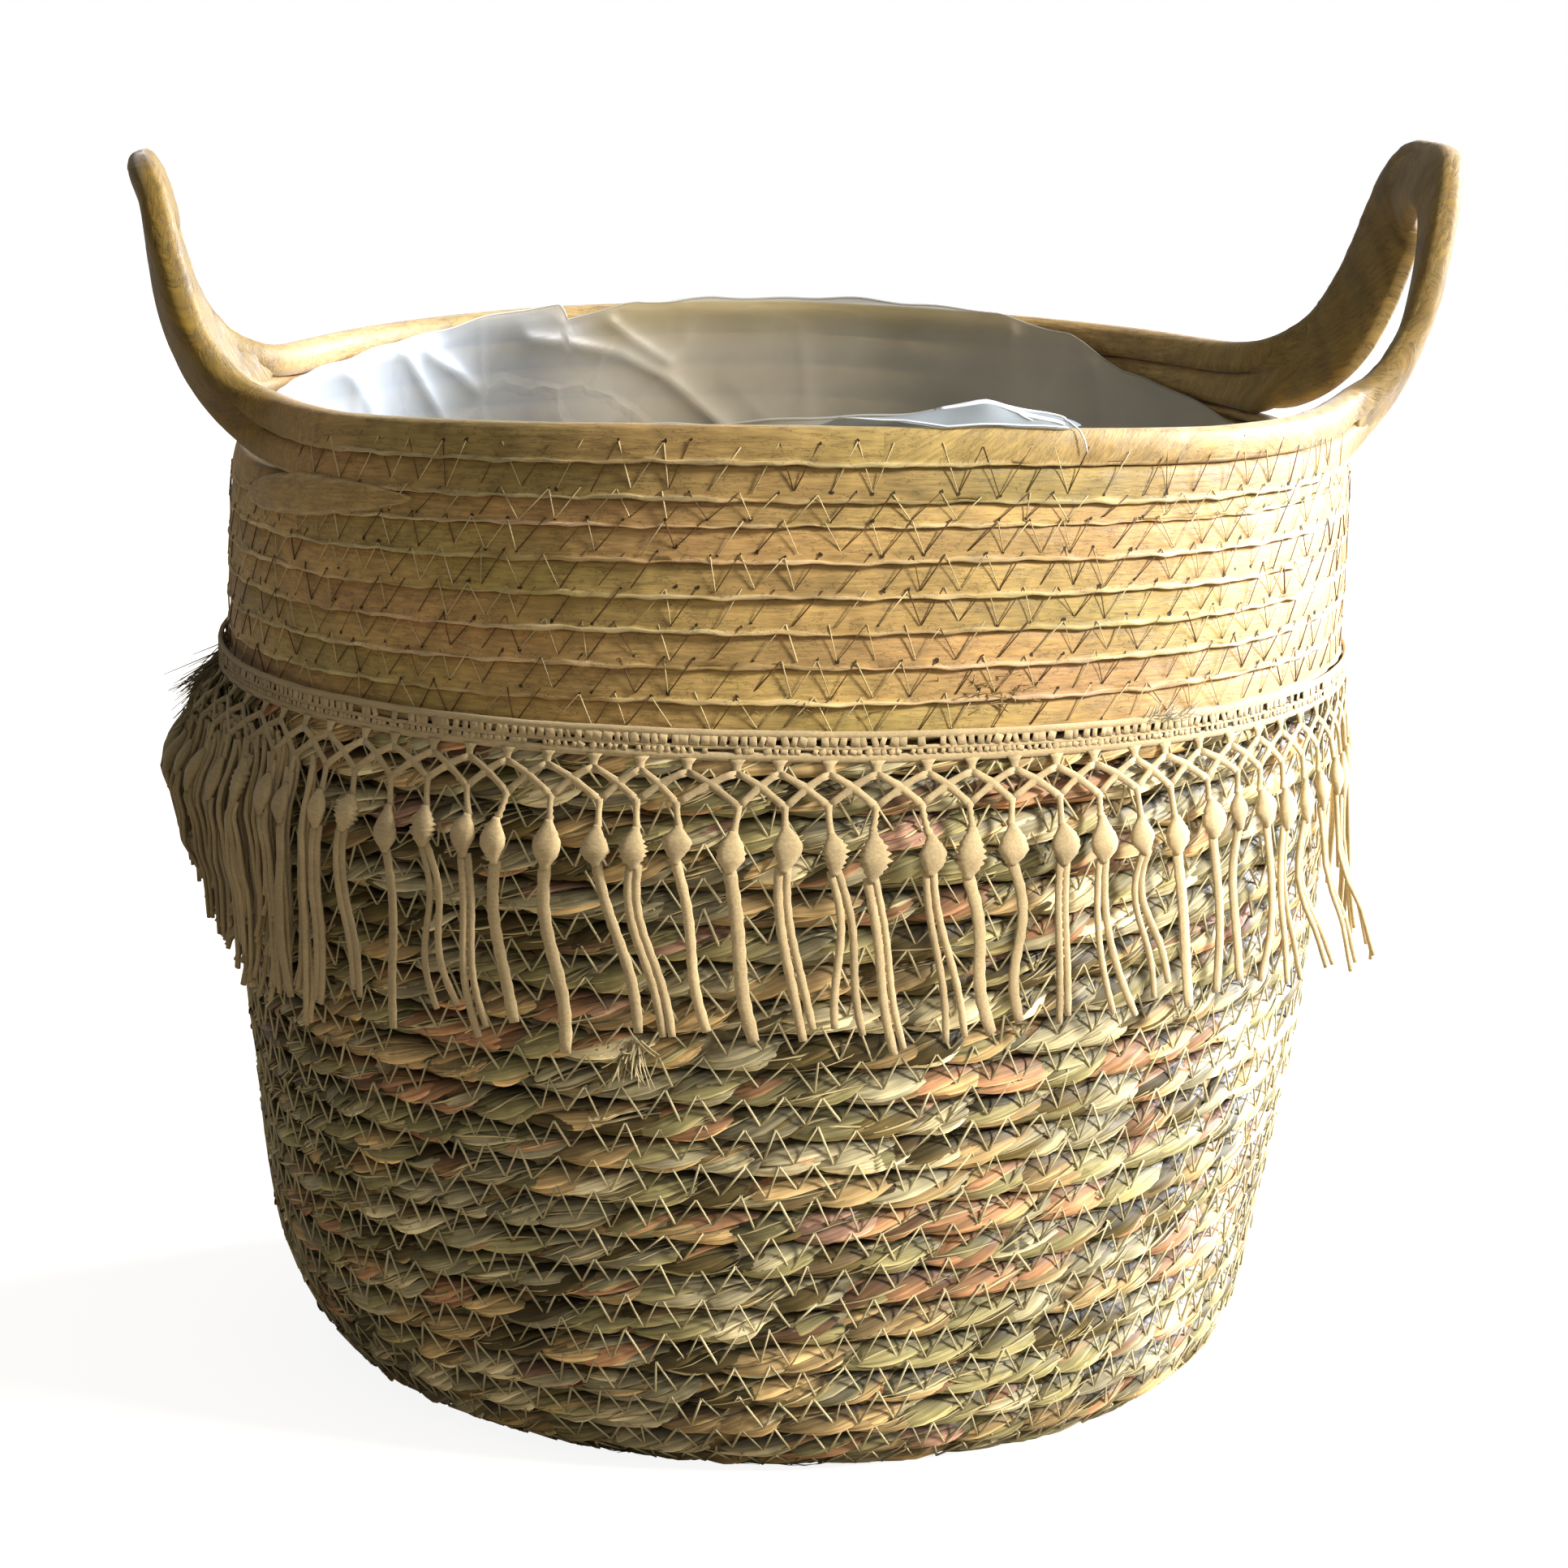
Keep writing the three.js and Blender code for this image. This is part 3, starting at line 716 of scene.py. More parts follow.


# Straw band: pressed husk rope, each course with a lip that stands out over the one below and has a painted
# highlight

band = {
    "stepsPerTurn": 640,
    "seat": 0.3,               # how far each course presses into the next
    "radius": 152,
    "face": [(1.04, 1.2), (0.95, 2.5), (0.76, 3.0), (0.4, 3.4), (0.0, 3.7), (-0.35, 3.93), (-0.62, 4.04),
             (-0.76, 4.1), (-0.8, 4.3), (-0.85, 4.42), (-1.0, 4.5), (-1.06, 4.42), (-1.075, 4.15),
             (-1.05, 2.9)],
    "inside": [(-1.0, -1.0), (-0.85, -3.0), (-0.4, -3.9), (0.1, -4.1), (0.6, -3.7), (0.96, -2.2),
               (1.06, 0.0)],
    "lipTop": {-0.76: 0.9, -0.8: 1.0, -0.85: 0.9},
    # wavelengths along the rope and a seed, for all that wanders in its outline and colour
    "waves": {"fold": ((47, 23, 13.7), 42), "slow": ((260, 141), 43), "face": ((61, 37, 17), 44),
              "lip": ((83, 29, 17, 9), 45), "top": ((118, 53, 21), 46), "drift": ((310, 173, 91), 31),
              "green": ((420, 133), 32)},
    "greener": np.array([-0.9, 0.1, -1.2]),
    "shadow": 0.6,             # under each lip
}
bandTone, lipTone = tone("be9b5a"), tone("dbc08a")
bandLoop = np.array(band["face"] + band["inside"])
bandIsLip = 1.0 * ((bandLoop[:, 0] < -0.78) & (bandLoop[:, 1] > 2.5))
bandIsFace = 1.0 * (bandLoop[:, 1] > 2)
bandLipTop = np.array([band["lipTop"].get(u, 0.0) for u, h in bandLoop])
bandAcross = runAlong(bandLoop * [4.2, 1])


def huskSection(distance, half, waves, shade=1.0):
    # the outline and colour of one course at each station: a flat slanting face over a fold that wanders
    wave = {kind: ripple(distance[:, None], *given) for kind, given in waves.items()}
    size = np.clip(half / (wall["strawThickness"] / 2), 0.3, 1)
    share = half * bandLoop[:, 0] + bandIsLip * 0.28 * wave["lip"] - bandLipTop * (0.22 + 0.34 * wave["top"])
    out = bandLoop[:, 1] * (0.6 + 0.4 * size) + bandIsLip * (0.16 * wave["fold"] + 0.2 * wave["slow"])
    out = out + bandIsFace * 0.14 * wave["face"]
    # a painted highlight along each lip, stronger in wandering stretches
    light = np.clip(bandIsLip * (0.62 + 0.35 * wave["slow"] + 0.2 * wave["fold"]), 0, 1)[..., None]
    drift = 1 + 0.12 * wave["drift"][..., None] + 0.07 * wave["green"][..., None] * band["greener"]
    return share, out, np.clip(between(bandTone, lipTone, light) * drift * shade, 0.01, 1)


def bandGrain(distance, row):
    return stackUp(distance[:, None], bandAcross, np.reshape(row, (-1, 1)) * 9.7)


def makeBand():
    turns = np.linspace(strawStart, coilEnd, int((coilEnd - strawStart) * band["stepsPerTurn"]))
    coil = Coil(turns, straw=True)
    distance = (turns - strawStart) * fullTurn * band["radius"]
    share, out, tint = huskSection(distance, coil.half[:, None] + band["seat"], band["waves"])
    points, faces = sweep(coil.centre, coil.up, coil.out, stackUp(share, out))
    shadow = np.where(bandLoop[:, :1] > 0.9, band["shadow"], 1.0)
    makePiece("straw_band", points, faces, huskLook, "basket", "straw_rope", stands=["straw_band_coil"],
              tint=tint * shadow, grain=bandGrain(distance, np.floor(turns)))


makeBand()


# Rim courses and handles: two husk-wrapped ropes side by side

handle = {
    "turn": 8.2,               # degrees
    "rise": {"right": 60.5, "left": 57.0},
    "riseBell": (28, 5.4),     # half width along the rim and squareness of the shoulders
    "lean": 27.4,
    "leanBell": (36, 6),
    "faceTip": 23.5,
    "twist": 5.7,
    "step": 1.5,
    "seat": 0.34,
    "square": 0.80,
    "wrap": 21.0,              # length of one turn of the husk wrap
    "wrapReach": 56,           # how far the wrap runs each way from the handle's top
    "looseWrap": 185,          # how far the right handle's wrap runs on along the front rim
    "shade": {"right": 0.48, "left": 0.67},      # painted shade on the husk of each handle, deeper on the left one
    "darker": np.array([0.92, 0.98, 1.38]),      # the painted shade takes more blue than red, which turns the shaded husk greener
    "rimShade": 0.82,
    # counts of the waves round the rim: they close, so that its two halves meet alike
    "rimWaves": {"slow": (4, 7), "fold": (20, 41, 70), "lip": (11, 33, 56, 106), "face": (16, 26, 56),
                 "drift": (3, 6, 11), "green": (2, 7), "top": (8, 18, 45)},
    "curl": 4.6,               # how far the right handle's lower edge rolls outward behind its top
    "rootFrom": 36,            # distances from the handle's top between which its back root joins the band
    "rootTo": 44,
    "bendStart": 285,          # heights from the top of the wall up into the handle
    "bendEnd": 312,
}
rimMiddle = wall["height"] - rimPitch + wall["rimGap"] / 2
rimCentre = float(outlineAt(lengthAtHeight(rimMiddle))[0])
quarterArc = rimCentre * math.pi / 2
handleAngles = {"right": math.radians(handle["turn"]), "left": math.radians(handle["turn"]) + math.pi}


def bell(arc, halfWidth, shoulder):
    return 1 / (1 + (np.abs(arc) / halfWidth) ** shoulder)


def rimLine(side, arc):
    # the line between the two courses, for a distance round the rim from the handle's top
    radius = rimCentre + handle["lean"] * bell(arc, *handle["leanBell"])
    height = rimMiddle + handle["rise"][side] * bell(arc, *handle["riseBell"])
    return polar(radius, handleAngles[side] + arc / rimCentre, height)


def rimFrame(side, arc):
    # up across the strap of two ropes, and out of its face
    small = 0.01
    along = unit(rimLine(side, arc + small) - rimLine(side, arc - small))
    tip = math.radians(handle["faceTip"]) * bell(arc, *handle["leanBell"])
    face = polar(1, handleAngles[side] + arc / rimCentre, -np.tan(tip))
    up = unit(np.cross(face, along))
    share = bell(arc, *handle["riseBell"])
    turn = -math.radians(handle["twist"]) * 4 * share * (1 - share)
    up = up * np.cos(turn)[:, None] + np.cross(along, up) * np.sin(turn)[:, None]
    return up, np.cross(along, up)


def rimStations(side, reach=math.inf):
    # evenly spaced stations: distance round the rim and along the rope, both from the handle's top
    fine = np.linspace(-quarterArc, quarterArc, 4001)
    run = runAlong(rimLine(side, fine))
    distance = np.linspace(0, run[-1], int(run[-1] / handle["step"]))
    arc = np.interp(distance, run, fine)
    keep = np.abs(arc) < reach
    arc, distance = arc[keep], distance[keep] - run[-1] / 2
    return arc, arc if side == "right" else -arc, distance, rimLine(side, arc), *rimFrame(side, arc)


def wrapLayers(distance, ring, level, seed):
    # husk wound round the rope: a small step at each wrap's edge with painted shade just under it, and fibres
    # that follow it
    run = distance[:, None]
    wrap = (run / handle["wrap"] + ring / fullTurn + 0.3 * level) % 1.0
    wrinkle = 0.10 * ripple(run * 0.5 + ring * 9, (5.1, 3.3, 2.2), seed)
    dent = 0.18 * ripple(run, (71, 33, 19), seed + 5)
    drift = 1 + 0.12 * ripple(run, (150, 67, 31), seed + 9)
    drift = drift * (1 - 0.22 * ripple(run + ring * 6, (23, 14.3, 8.1), seed + 40).clip(0))
    # painted shade just under each wrap's edge
    edge = np.clip(1 - wrap * 6, 0, 1)
    light = np.clip(0.5 + 0.5 * ripple(run * 0.9 + ring * 7, (29, 11), seed + 20), 0, 1)
    colour = between(bandTone * ((1 - 0.35 * edge) * drift)[..., None], lipTone, light[..., None] * 0.4)
    grain = stackUp(run * 0.85 + ring * 2.1, ring * 4.2 - run * 0.42, 20.0 * level + seed)
    return 0.30 * (wrap - 0.5) + wrinkle + dent, colour, grain


def makeRimHalf(side, seed):
    # flat stitched courses like the band's, which turn round where they rise into the handle
    arc, backward, distance, line, up, out = rimStations(side)
    place = arc if side == "right" else arc - 2 * quarterArc         # the two halves meet alike in front
    ring = np.arctan2(bandLoop[:, 1], bandLoop[:, 0] * 4.2)
    half = wall["strawThickness"] / 2 + handle["seat"]
    heap = Heap()
    for level, offset in enumerate((-rimPitch / 2, rimPitch / 2)):
        loose = (side == "right") & (level == 1) & (backward <= 0)
        onHandle = bell(arc, np.where(loose, handle["looseWrap"], handle["wrapReach"]), 9)[:, None]
        waves = {kind: ([fullTurn * rimCentre / n for n in counts], 300 + 10 * level + k)
                 for k, (kind, counts) in enumerate(handle["rimWaves"].items())}
        share, flat, bandTint = huskSection(place, half, waves, handle["rimShade"])
        swell, wrapTint, wrapGrain = wrapLayers(distance, ring, level, seed + level)
        roundOut = squared(np.sin(ring), handle["square"]) * wall["strawDepth"] / 2 * (1 + swell / 4.2)
        share = between(share, squared(np.cos(ring), handle["square"]) * (half + 0.3), onHandle)
        flat = between(flat, roundOut, onHandle) + curlEdge(offset + share, backward, side)
        points, faces = sweep(line + offset * up, up, out, stackUp(share, flat), capped=False)
        points = points[0]
        if level == 0:
            points = easeInside(points, np.clip(0.5 - share / 9, 0, 1) * bell(arc, 50, 8)[:, None])
            points = joinRoot(points, share, flat, handleAngles[side] + arc / rimCentre, backward)
        # painted shade on the handle's husk
        dark = 1 - handle["shade"][side] * bell(arc, 66, 8)[:, None, None] * handle["darker"]
        heap.add(points, faces, tint=between(bandTint, wrapTint * dark, onHandle[..., None]),
                 grain=between(bandGrain(place, level + 11.0), wrapGrain, onHandle[..., None]))
    end = "back" if side == "right" else "front"
    piece = heap.make(f"rim_and_{side}_handle", huskLook, slot="straw_rope",
                      stands=[f"handle_{side}_rope_lower", f"handle_{side}_rope_upper",
                              f"rim_rope_{end}_lower", f"rim_rope_{end}_upper"])
    bendWithHandle(piece, side)


def curlEdge(share, backward, side):
    near = hump(backward - 14, 12)[:, None] * (side == "right")
    return handle["curl"] * near * np.clip(-share / 13, 0, 1.2) ** 1.2


def easeInside(points, weight):
    # evens out the strap's lower edge, which folds where the handle bends most
    reach = 9
    weights = hump(np.arange(-reach, reach + 1), 4.5)
    padded = np.concatenate([points[:1].repeat(reach, 0), points, points[-1:].repeat(reach, 0)])
    even = sum(w * padded[k:k + len(points)] for k, w in enumerate(weights / weights.sum()))
    return between(points, even, weight[..., None])


def joinRoot(points, share, flat, angle, backward):
    # the lower rope's underside stays on the band until the rope is well up at its back root
    seat = polar(rimCentre + flat, angle[:, None], rimMiddle - rimPitch / 2 + share)
    t = np.clip((backward - handle["rootFrom"]) / (handle["rootTo"] - handle["rootFrom"]), 0, 1)
    low = np.clip(-share / 4.5, 0, 1) ** 0.6
    return between(points, seat, ((t * t * (3 - 2 * t))[:, None] * low)[..., None])


sleeve = {
    "reach": 52,               # along the rim line, each way from the handle's top
    "taper": 18,
    "below": 3.2,              # how far the wrap hangs below the lower rope at the top, more at the back
    "gusset": 3.0,             # and how much more near the back root
    "gussetPlace": 34,
    "square": 0.62,
    "sides": 34,
}


def makeSleeve(side, seed):
    # husk wound round both ropes of the handle, so that they read as one strap
    arc, backward, distance, line, up, out = rimStations(side, sleeve["reach"])
    inside = np.clip((sleeve["reach"] - np.abs(arc)) / sleeve["taper"], 0, 1)[:, None] ** 0.6
    below = sleeve["below"] * (1 + np.tanh((backward - 5) / 8))
    below = (below + sleeve["gusset"] * hump(backward - sleeve["gussetPlace"], 9))[:, None] * inside
    half = rimPitch / 2 + wall["strawThickness"] / 2 + 0.6 * inside + below / 2
    ring, u, h = squareRing(sleeve["sides"], sleeve["square"])
    swell, tint, grain = wrapLayers(distance, ring, 0, seed)
    swell = swell * 1.1
    share = u * (half + swell * 0.4) - below / 2
    deep = (wall["strawDepth"] / 2 + 0.25 + swell) * (0.62 + 0.38 * inside)
    points, faces = sweep(line, up, out, stackUp(share, h * deep + curlEdge(share, backward, side)))
    points = easeInside(points[0], np.clip(0.5 - u, 0, 1) * bell(arc, 46, 8)[:, None])
    grain[..., 1] = share - distance[:, None] * 0.55
    # the wrap carries the same painted shade as its handle
    piece = makePiece(f"{side}_handle_wrap", points, faces, huskLook, slot="straw_rope",
                      tint=tint * (1 - handle["shade"][side] * handle["darker"]), grain=grain)
    bendWithHandle(piece, side)


def bendWithHandle(piece, side):
    x, y, z = polar(rimCentre, handleAngles[side]) * mm
    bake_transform(piece)


makeRimHalf("right", 60)
makeRimHalf("left", 80)
makeSleeve("right", 64)
makeSleeve("left", 84)


# The flattened end of a course, tucked in below the left handle's front root

tuckedEnd = {"from": -159, "to": -128, "low": 258.0, "high": 264.8, "arch": 1.4, "standsOff": 3.6,
             "halfHeight": 6.0, "thick": 2.3, "sides": 26}


def makeTuckedEnd():
    t = np.linspace(0, 1, 48)
    angle = np.radians(between(tuckedEnd["from"], tuckedEnd["to"], t))
    height = between(tuckedEnd["low"], tuckedEnd["high"], t) + tuckedEnd["arch"] * np.sin(math.pi * t)
    radius = np.interp(height, outlinePoints[:, 1], outlinePoints[:, 0]) + tuckedEnd["standsOff"]
    centre = polar(radius, angle, height)
    swell = np.sin(math.pi * t ** 0.8)[:, None].clip(0)
    ring, u, h = squareRing(tuckedEnd["sides"], 0.7)
    half = tuckedEnd["halfHeight"] * swell ** 0.7 * (1 + 0.04 * ripple(t, (0.31, 0.13), 7))[:, None]
    rim = hump(np.abs(u) - 0.86, 0.1)
    deep = tuckedEnd["thick"] * swell ** 0.4 + 0.3 * rim
    points, faces = sweep(centre, centre * 0 + [0, 0, 1.0], polar(1, angle), stackUp(u * half, h * deep))
    makePiece("tucked_rope_end", points, faces, huskLook, "basket", "straw_rope",
              tint=between(bandTone * 0.92, lipTone, 0.6 * rim[:, None]),
              grain=stackUp((radius * angle)[:, None] * 0.9, u * half, 5))


makeTuckedEnd()


# Stitches of the straw: slanting threads, often painted dark for the shadow of the groove each sinks into,
# fainter returns and small needle holes painted dark for the shade in them

stitch = {
    "perTurn": 96,
    "lean": 0.66,              # share of a stitch's pitch that the slanting leg takes
    "holeShare": -0.56,
    "width": 0.34,
    "lift": 0.16,
    "farthest": 2.2,           # times the rim's pitch
    "clearOfHandle": 62,
    "depth": {-1: 2.3, -0.4: 3.6, 0.5: 3.95, 0.62: 4.25, 0.8: 4.5, 1.0: 4.2},    # down a course's face
    # painted shadow of the groove that a sunk thread lies in
    "grooveShadowTone": "664923",
    "lightTone": "dac592",
    # painted shade inside a needle hole
    "holeShadeTone": "3a2a14",
    "holeSides": 6,
}


def bandSpot(turns, share):
    # a place on the outer face of the band
    coil = Coil(turns, straw=True)
    out = readOff(stitch["depth"], -share)
    return coil.centre + (share * coil.half)[:, None] * coil.up + out[:, None] * coil.out, coil.out


def rimSpot(angle, level, share):
    height = rimMiddle + (level - 0.5) * rimPitch + share * wall["strawThickness"] / 2
    return polar(rimCentre + readOff(stitch["depth"], -share), angle, height), polar(1, angle)


def addStitches(heaps, low, lowOut, high, highOut, dice):
    # one slanting leg per stitch, often painted dark for the shadow of its groove, and a fainter one back to
    # the next
    threads, holes = heaps
    rows = [(low, high, lowOut, 0.62, 0.97), (high[:-1], low[1:], highOut[:-1], 0.25, 0.6)]
    for a, b, outward, darkShare, keepShare in rows:
        keep = dice.random(len(a)) < keepShare
        keep &= np.linalg.norm(b - a, axis=1) < stitch["farthest"] * rimPitch
        a, b, outward = a[keep], b[keep], outward[keep]
        width = stitch["width"] * dice.uniform(0.7, 1.25, len(a))
        dark = (dice.random(len(a)) < darkShare)[:, None]
        colour = np.where(dark, tone(stitch["grooveShadowTone"]), tone(stitch["lightTone"]))
        colour = colour * dice.uniform(0.75, 1.15, (len(a), 1))
        addThreads(threads, a, b, outward, width, colour, stitch["lift"], sink=0.5, sides=4)
    for place, outward in ((low, lowOut), (high, highOut)):
        keep = dice.random(len(place)) < 0.5
        addHoles(holes, place[keep], outward[keep], dice)


def addHoles(heap, place, outward, dice):
    # small torn dimples: an irregular patch painted dark for the shade inside the hole, with a point that
    # slants up
    sides = stitch["holeSides"]
    along = unit(np.cross(np.array([0, 0, 1.0]), outward))
    reach = dice.uniform(0.28, 0.75, (len(place), sides)) * dice.uniform(0.6, 1.2, (len(place), 1))
    reach[:, 1] *= 1.5
    flat = oval(sides) * reach[..., None]
    edge = (place + 0.1 * outward)[:, None] + flat[..., :1] * along[:, None]
    edge = edge + flat[..., 1:] * np.cross(outward, along)[:, None]
    index = np.arange(len(place) * sides).reshape(-1, sides)
    heap.add(edge, [index], tint=tone(stitch["holeShadeTone"]), grain=edge)


def makeBandThreads():
    dice = np.random.default_rng(51)
    per = stitch["perTurn"]
    heaps = Heap(), Heap()
    index = np.arange(math.ceil(strawStart * per) + 4, int((coilEnd - 1.02) * per))
    jitter = lambda amount, count: dice.normal(0, amount, count)
    hole = lambda count: stitch["holeShare"] + jitter(0.10, count)
    start = index / per + jitter(0.07, len(index)) / per
    end = start + 1 + (stitch["lean"] + jitter(0.08, len(index))) / per
    low, high = bandSpot(start, hole(len(index))), bandSpot(end, hole(len(index)))
    addStitches(heaps, *low, *high, dice)

    # the last turn of the band to the lower rim course, and that course to the upper one
    angle = np.arange(per) * fullTurn / per + jitter(0.07, per) * fullTurn / per
    slant = (stitch["lean"] + jitter(0.08, per)) * fullTurn / per
    fromHandle = np.abs((angle - handleAngles["right"] + math.pi / 2) % math.pi - math.pi / 2) * rimCentre
    free = fromHandle > stitch["clearOfHandle"]
    angle, slant, count = angle[free], slant[free], free.sum()
    turns = coilEnd - 1 + ((angle - wall["coilStart"] - fullTurn * coilEnd) % fullTurn) / fullTurn
    foot = [bandSpot(turns, hole(count)), rimSpot(angle, 0, hole(count))]
    head = [rimSpot(angle + slant, 0, hole(count)), rimSpot(angle + slant, 1, 0.15 + jitter(0.2, count))]
    for low, high in zip(foot, head):
        addStitches(heaps, *low, *high, dice)
    heaps[0].make("straw_sewing_thread", threadLook, body="basket", slot="straw_rope")
    heaps[1].make("straw_needle_holes", threadLook, body="basket", slot="straw_rope", smooth=False)


makeBandThreads()


# Trim: an open header tape, the knotted net below it and the tassels

trim = {
    "radius": 159.3,
    "bottom": 201.6,           # height of the tape's lower edge
    "tassels": 84,
    "stem": 3.4,
    "lower": 10.6,
    "cordWidth": 2.2,
    "cordDepth": 0.95,
    "knotTop": 16.8,
    "knotLength": 11.8,
    "knotWidth": 8.0,
    "knotDepth": 3.3,
    "strandLength": 43.5,
    "strandWidth": 2.65,
    "stand": {0: 0.0, 10: 1.4, 24: 4.2, 45: 4.6, 75: 4.6},       # off the wall, by distance below the tape
    "bulgeAngle": 190,         # degrees, where the fringe is thick and stands off most
    "bulge": {0: 0.8, 5: 4.4, 10: 6.6, 18: 7.2, 25: 10.0, 31: 11.6, 38: 8.8, 47: 6.8, 53: 3.6, 60: 2.2,
              72: 1},
    "flareAngle": -22,         # the loose strands at the right
    "flare": {0: 0, 26: 0, 44: 0.8, 52: 3.5, 60: 8, 74: 13},
    "close": {-24: 0, -14: 1, 12: 1, 22: 0},                     # lies closer at the right side
    "tone": "cbb385",
    "shadeTone": "8d7b52",     # painted shade at the thick left end, which lies in shadow
    # strips of the tape: rise above its lower edge, height and thickness
    "strips": ((7.1, 2.0, 1.3), (3.7, 1.2, 1.0), (1.15, 2.3, 1.2)),
    # and its rows of bars: count, rise, height, width and unevenness
    "bars": ((400, 5.3, 2.4, 2.0, 0.15), (520, 2.7, 1.3, 1.55, 0.12)),
}
trimPitch = fullTurn / trim["tassels"]
aside = 1 / trim["radius"]     # the angle of 1 mm round the trim


def trimBulge(angle, width=26):
    # how near a place is to the thick left end of the fringe, 0 to 1
    return hump(degreesFrom(angle, trim["bulgeAngle"]), width)


def onTrim(angle, drop, lift):
    # the fringe stands off the wall below the tape, most on the left side
    close = 1 - 0.5 * readOff(trim["close"], degreesFrom(angle))
    loose = readOff(trim["flare"], drop) * hump(degreesFrom(angle, trim["flareAngle"]), 10)
    stand = readOff(trim["stand"], drop) * close + readOff(trim["bulge"], drop) * trimBulge(angle) + loose
    return polar(trim["radius"] + 0.6 + stand + lift, angle, trim["bottom"] - drop)


def addCords(heap, dice, angle, drop, width, depth, lift=0.0, sides=8, capped=True, flatness=1.0, shade=0.10):
    # flat cords that follow paths on the fringe's surface: angle and drop are cords x stations
    centre = onTrim(angle, drop, lift)
    along = unit(np.gradient(centre, axis=1))
    across = unit(np.cross(polar(1, angle), along))
    ring = ringAngles(sides)
    flat = stackUp(squared(np.cos(ring), 0.7), squared(np.sin(ring), flatness)) / 2
    size = np.broadcast_to(stackUp(width, depth), centre.shape[:2] + (2,))
    points, faces = sweep(centre, across, np.cross(along, across), flat * size[:, :, None], capped)
    x, y, z = np.moveaxis(points, -1, 0)
    # painted shade towards the thick left end of the fringe
    dark = 0.85 * trimBulge(np.arctan2(y, x), 28)[..., None]
    tint = between(tone(trim["tone"]), tone(trim["shadeTone"]), dark)
    tint = tint * dice.normal(1, shade, (len(points), 1, 1, 1))
    heap.add(points, faces, tint=tint, grain=stackUp(z, np.arange(sides) * 0.6, x + y))


def makeTape():
    dice = np.random.default_rng(71)
    heap = Heap()
    angle = np.linspace(0, fullTurn, 337)[None]
    for rise, tall, thick in trim["strips"]:
        drop = -rise + 0.08 * ripple(angle * 159, (97, 41, 13), int(rise * 10))
        addCords(heap, dice, angle, drop, tall, thick, lift=-0.55, capped=False, shade=0.02)
    for bars, rise, tall, wide, jitter in trim["bars"]:
        keep = dice.random(bars) < 0.93
        where = (np.arange(bars)[keep] + dice.normal(0, jitter, keep.sum())) * fullTurn / bars
        lean = dice.normal(0, 0.25, len(where)) / 160
        path = np.stack([where - lean, where + lean], 1)
        drop = np.broadcast_to([-rise - tall / 2, -rise + tall / 2], path.shape)
        width = wide * dice.uniform(0.7, 1.4, (len(where), 1))
        addCords(heap, dice, path, drop, width, 0.3, lift=-0.12, flatness=0.35)
    heap.make("trim_tape_lace", cordLook, body="basket", slot="cotton_cord", stands=["trim_tape"])


def makeFringe():
    dice = np.random.default_rng(72)
    heap = Heap()
    add = lambda *path, **rest: addCords(heap, dice, *path, **rest)
    count, stem = trim["tassels"], trim["stem"]
    place = np.arange(count) * trimPitch
    top = place + dice.normal(0, 0.06, count) * trimPitch
    low = place + dice.normal(0, 0.07, count) * trimPitch
    lowDrop = trim["lower"] + dice.normal(0, 0.35, count)
    stems = np.repeat(top[:, None], 5, 1)
    stemDrop = np.broadcast_to([-0.6, 0.3, 1.0, 2.0, stem], stems.shape)
    add(stems, stemDrop, [4.4, 3.1, 2.3, 2.1, 2.6], trim["cordDepth"])
    t = np.linspace(0, 1, 7)
    wide = trim["cordWidth"] * np.array([1.0, 0.86, 0.88, 1.15, 0.88, 0.88, 1.05])
    for way, lift in ((1, 0.02), (-1, 0.0)):
        end = np.roll(low, -way)
        end = end + np.where(np.abs(end - top) > math.pi, way * fullTurn, 0)
        drop = between(stem - 0.5, np.roll(lowDrop, -way)[:, None], t ** 1.3)
        add(between(top[:, None], end[:, None], t), drop, wide, trim["cordDepth"], lift)
    addTassels(low, lowDrop, dice, add)
    addBrush(np.random.default_rng(73), add)
    heap.make("trim_net_and_tassels", cordLook, body="basket", slot="cotton_cord", stands=["trim_fringe"])


def addTassels(low, lowDrop, dice, add):
    count = trim["tassels"]
    column = lambda values: values[:, None]
    zigzag = lambda stations: np.where(np.arange(stations) % 2, 1, -1)
    knotTop = trim["knotTop"] + dice.normal(0, 0.8, count)
    sway = dice.normal(0.4, 0.9, count)                       # mm to the side at the knot
    t = np.linspace(0, 1, 9)
    neck = column(low) + column(sway) * aside * t ** 1.5
    neckDrop = column(lowDrop) - 0.4 + column(knotTop - lowDrop + 0.9) * t
    beaded = column(dice.random(count) < 0.3) * 0.22 * zigzag(9)
    add(neck, neckDrop, np.array([2.5, 2.0, 1.8, 1.7, 1.7, 1.7, 1.8, 2.0, 2.4]) * (1 + beaded), 1.2)

    # flat knots shaped like rounded diamonds, a fifth of them wound with ridges
    stations = 17
    t = np.linspace(0, 1, stations)
    arch = np.sin(math.pi * t)
    ridged = column(dice.random(count)) < 0.2
    ridge = 1 + ridged * 0.18 * zigzag(stations) * arch
    peak = column(dice.uniform(0.42, 0.62, count))
    warp = np.where(t < peak, t / peak / 2, 0.5 + (t - peak) / (1 - peak) / 2)
    body = np.sin(math.pi * warp) ** column(dice.uniform(1.1, 1.7, count))
    body = body * column(dice.uniform(0.78, 1.15, count))
    frill = 1 + dice.normal(0, 0.035, (count, stations))
    width = between(2.0, trim["knotWidth"], body) * ridge * frill
    depth = between(1.3, trim["knotDepth"], body * np.where(ridged, 1.15, 0.8))
    drift = dice.normal(0.3, 0.8, count)
    lop = column(dice.normal(0, 0.5, count)) * arch
    angle = column(low) + (column(sway) + column(drift) * t + lop) * aside
    knotLength = trim["knotLength"] * dice.uniform(0.8, 1.12, count)
    add(angle, column(knotTop) + column(knotLength) * t, width, depth, 0.6, sides=10)
    addStrands(low + (sway + drift) * aside, knotTop + knotLength, dice, add)


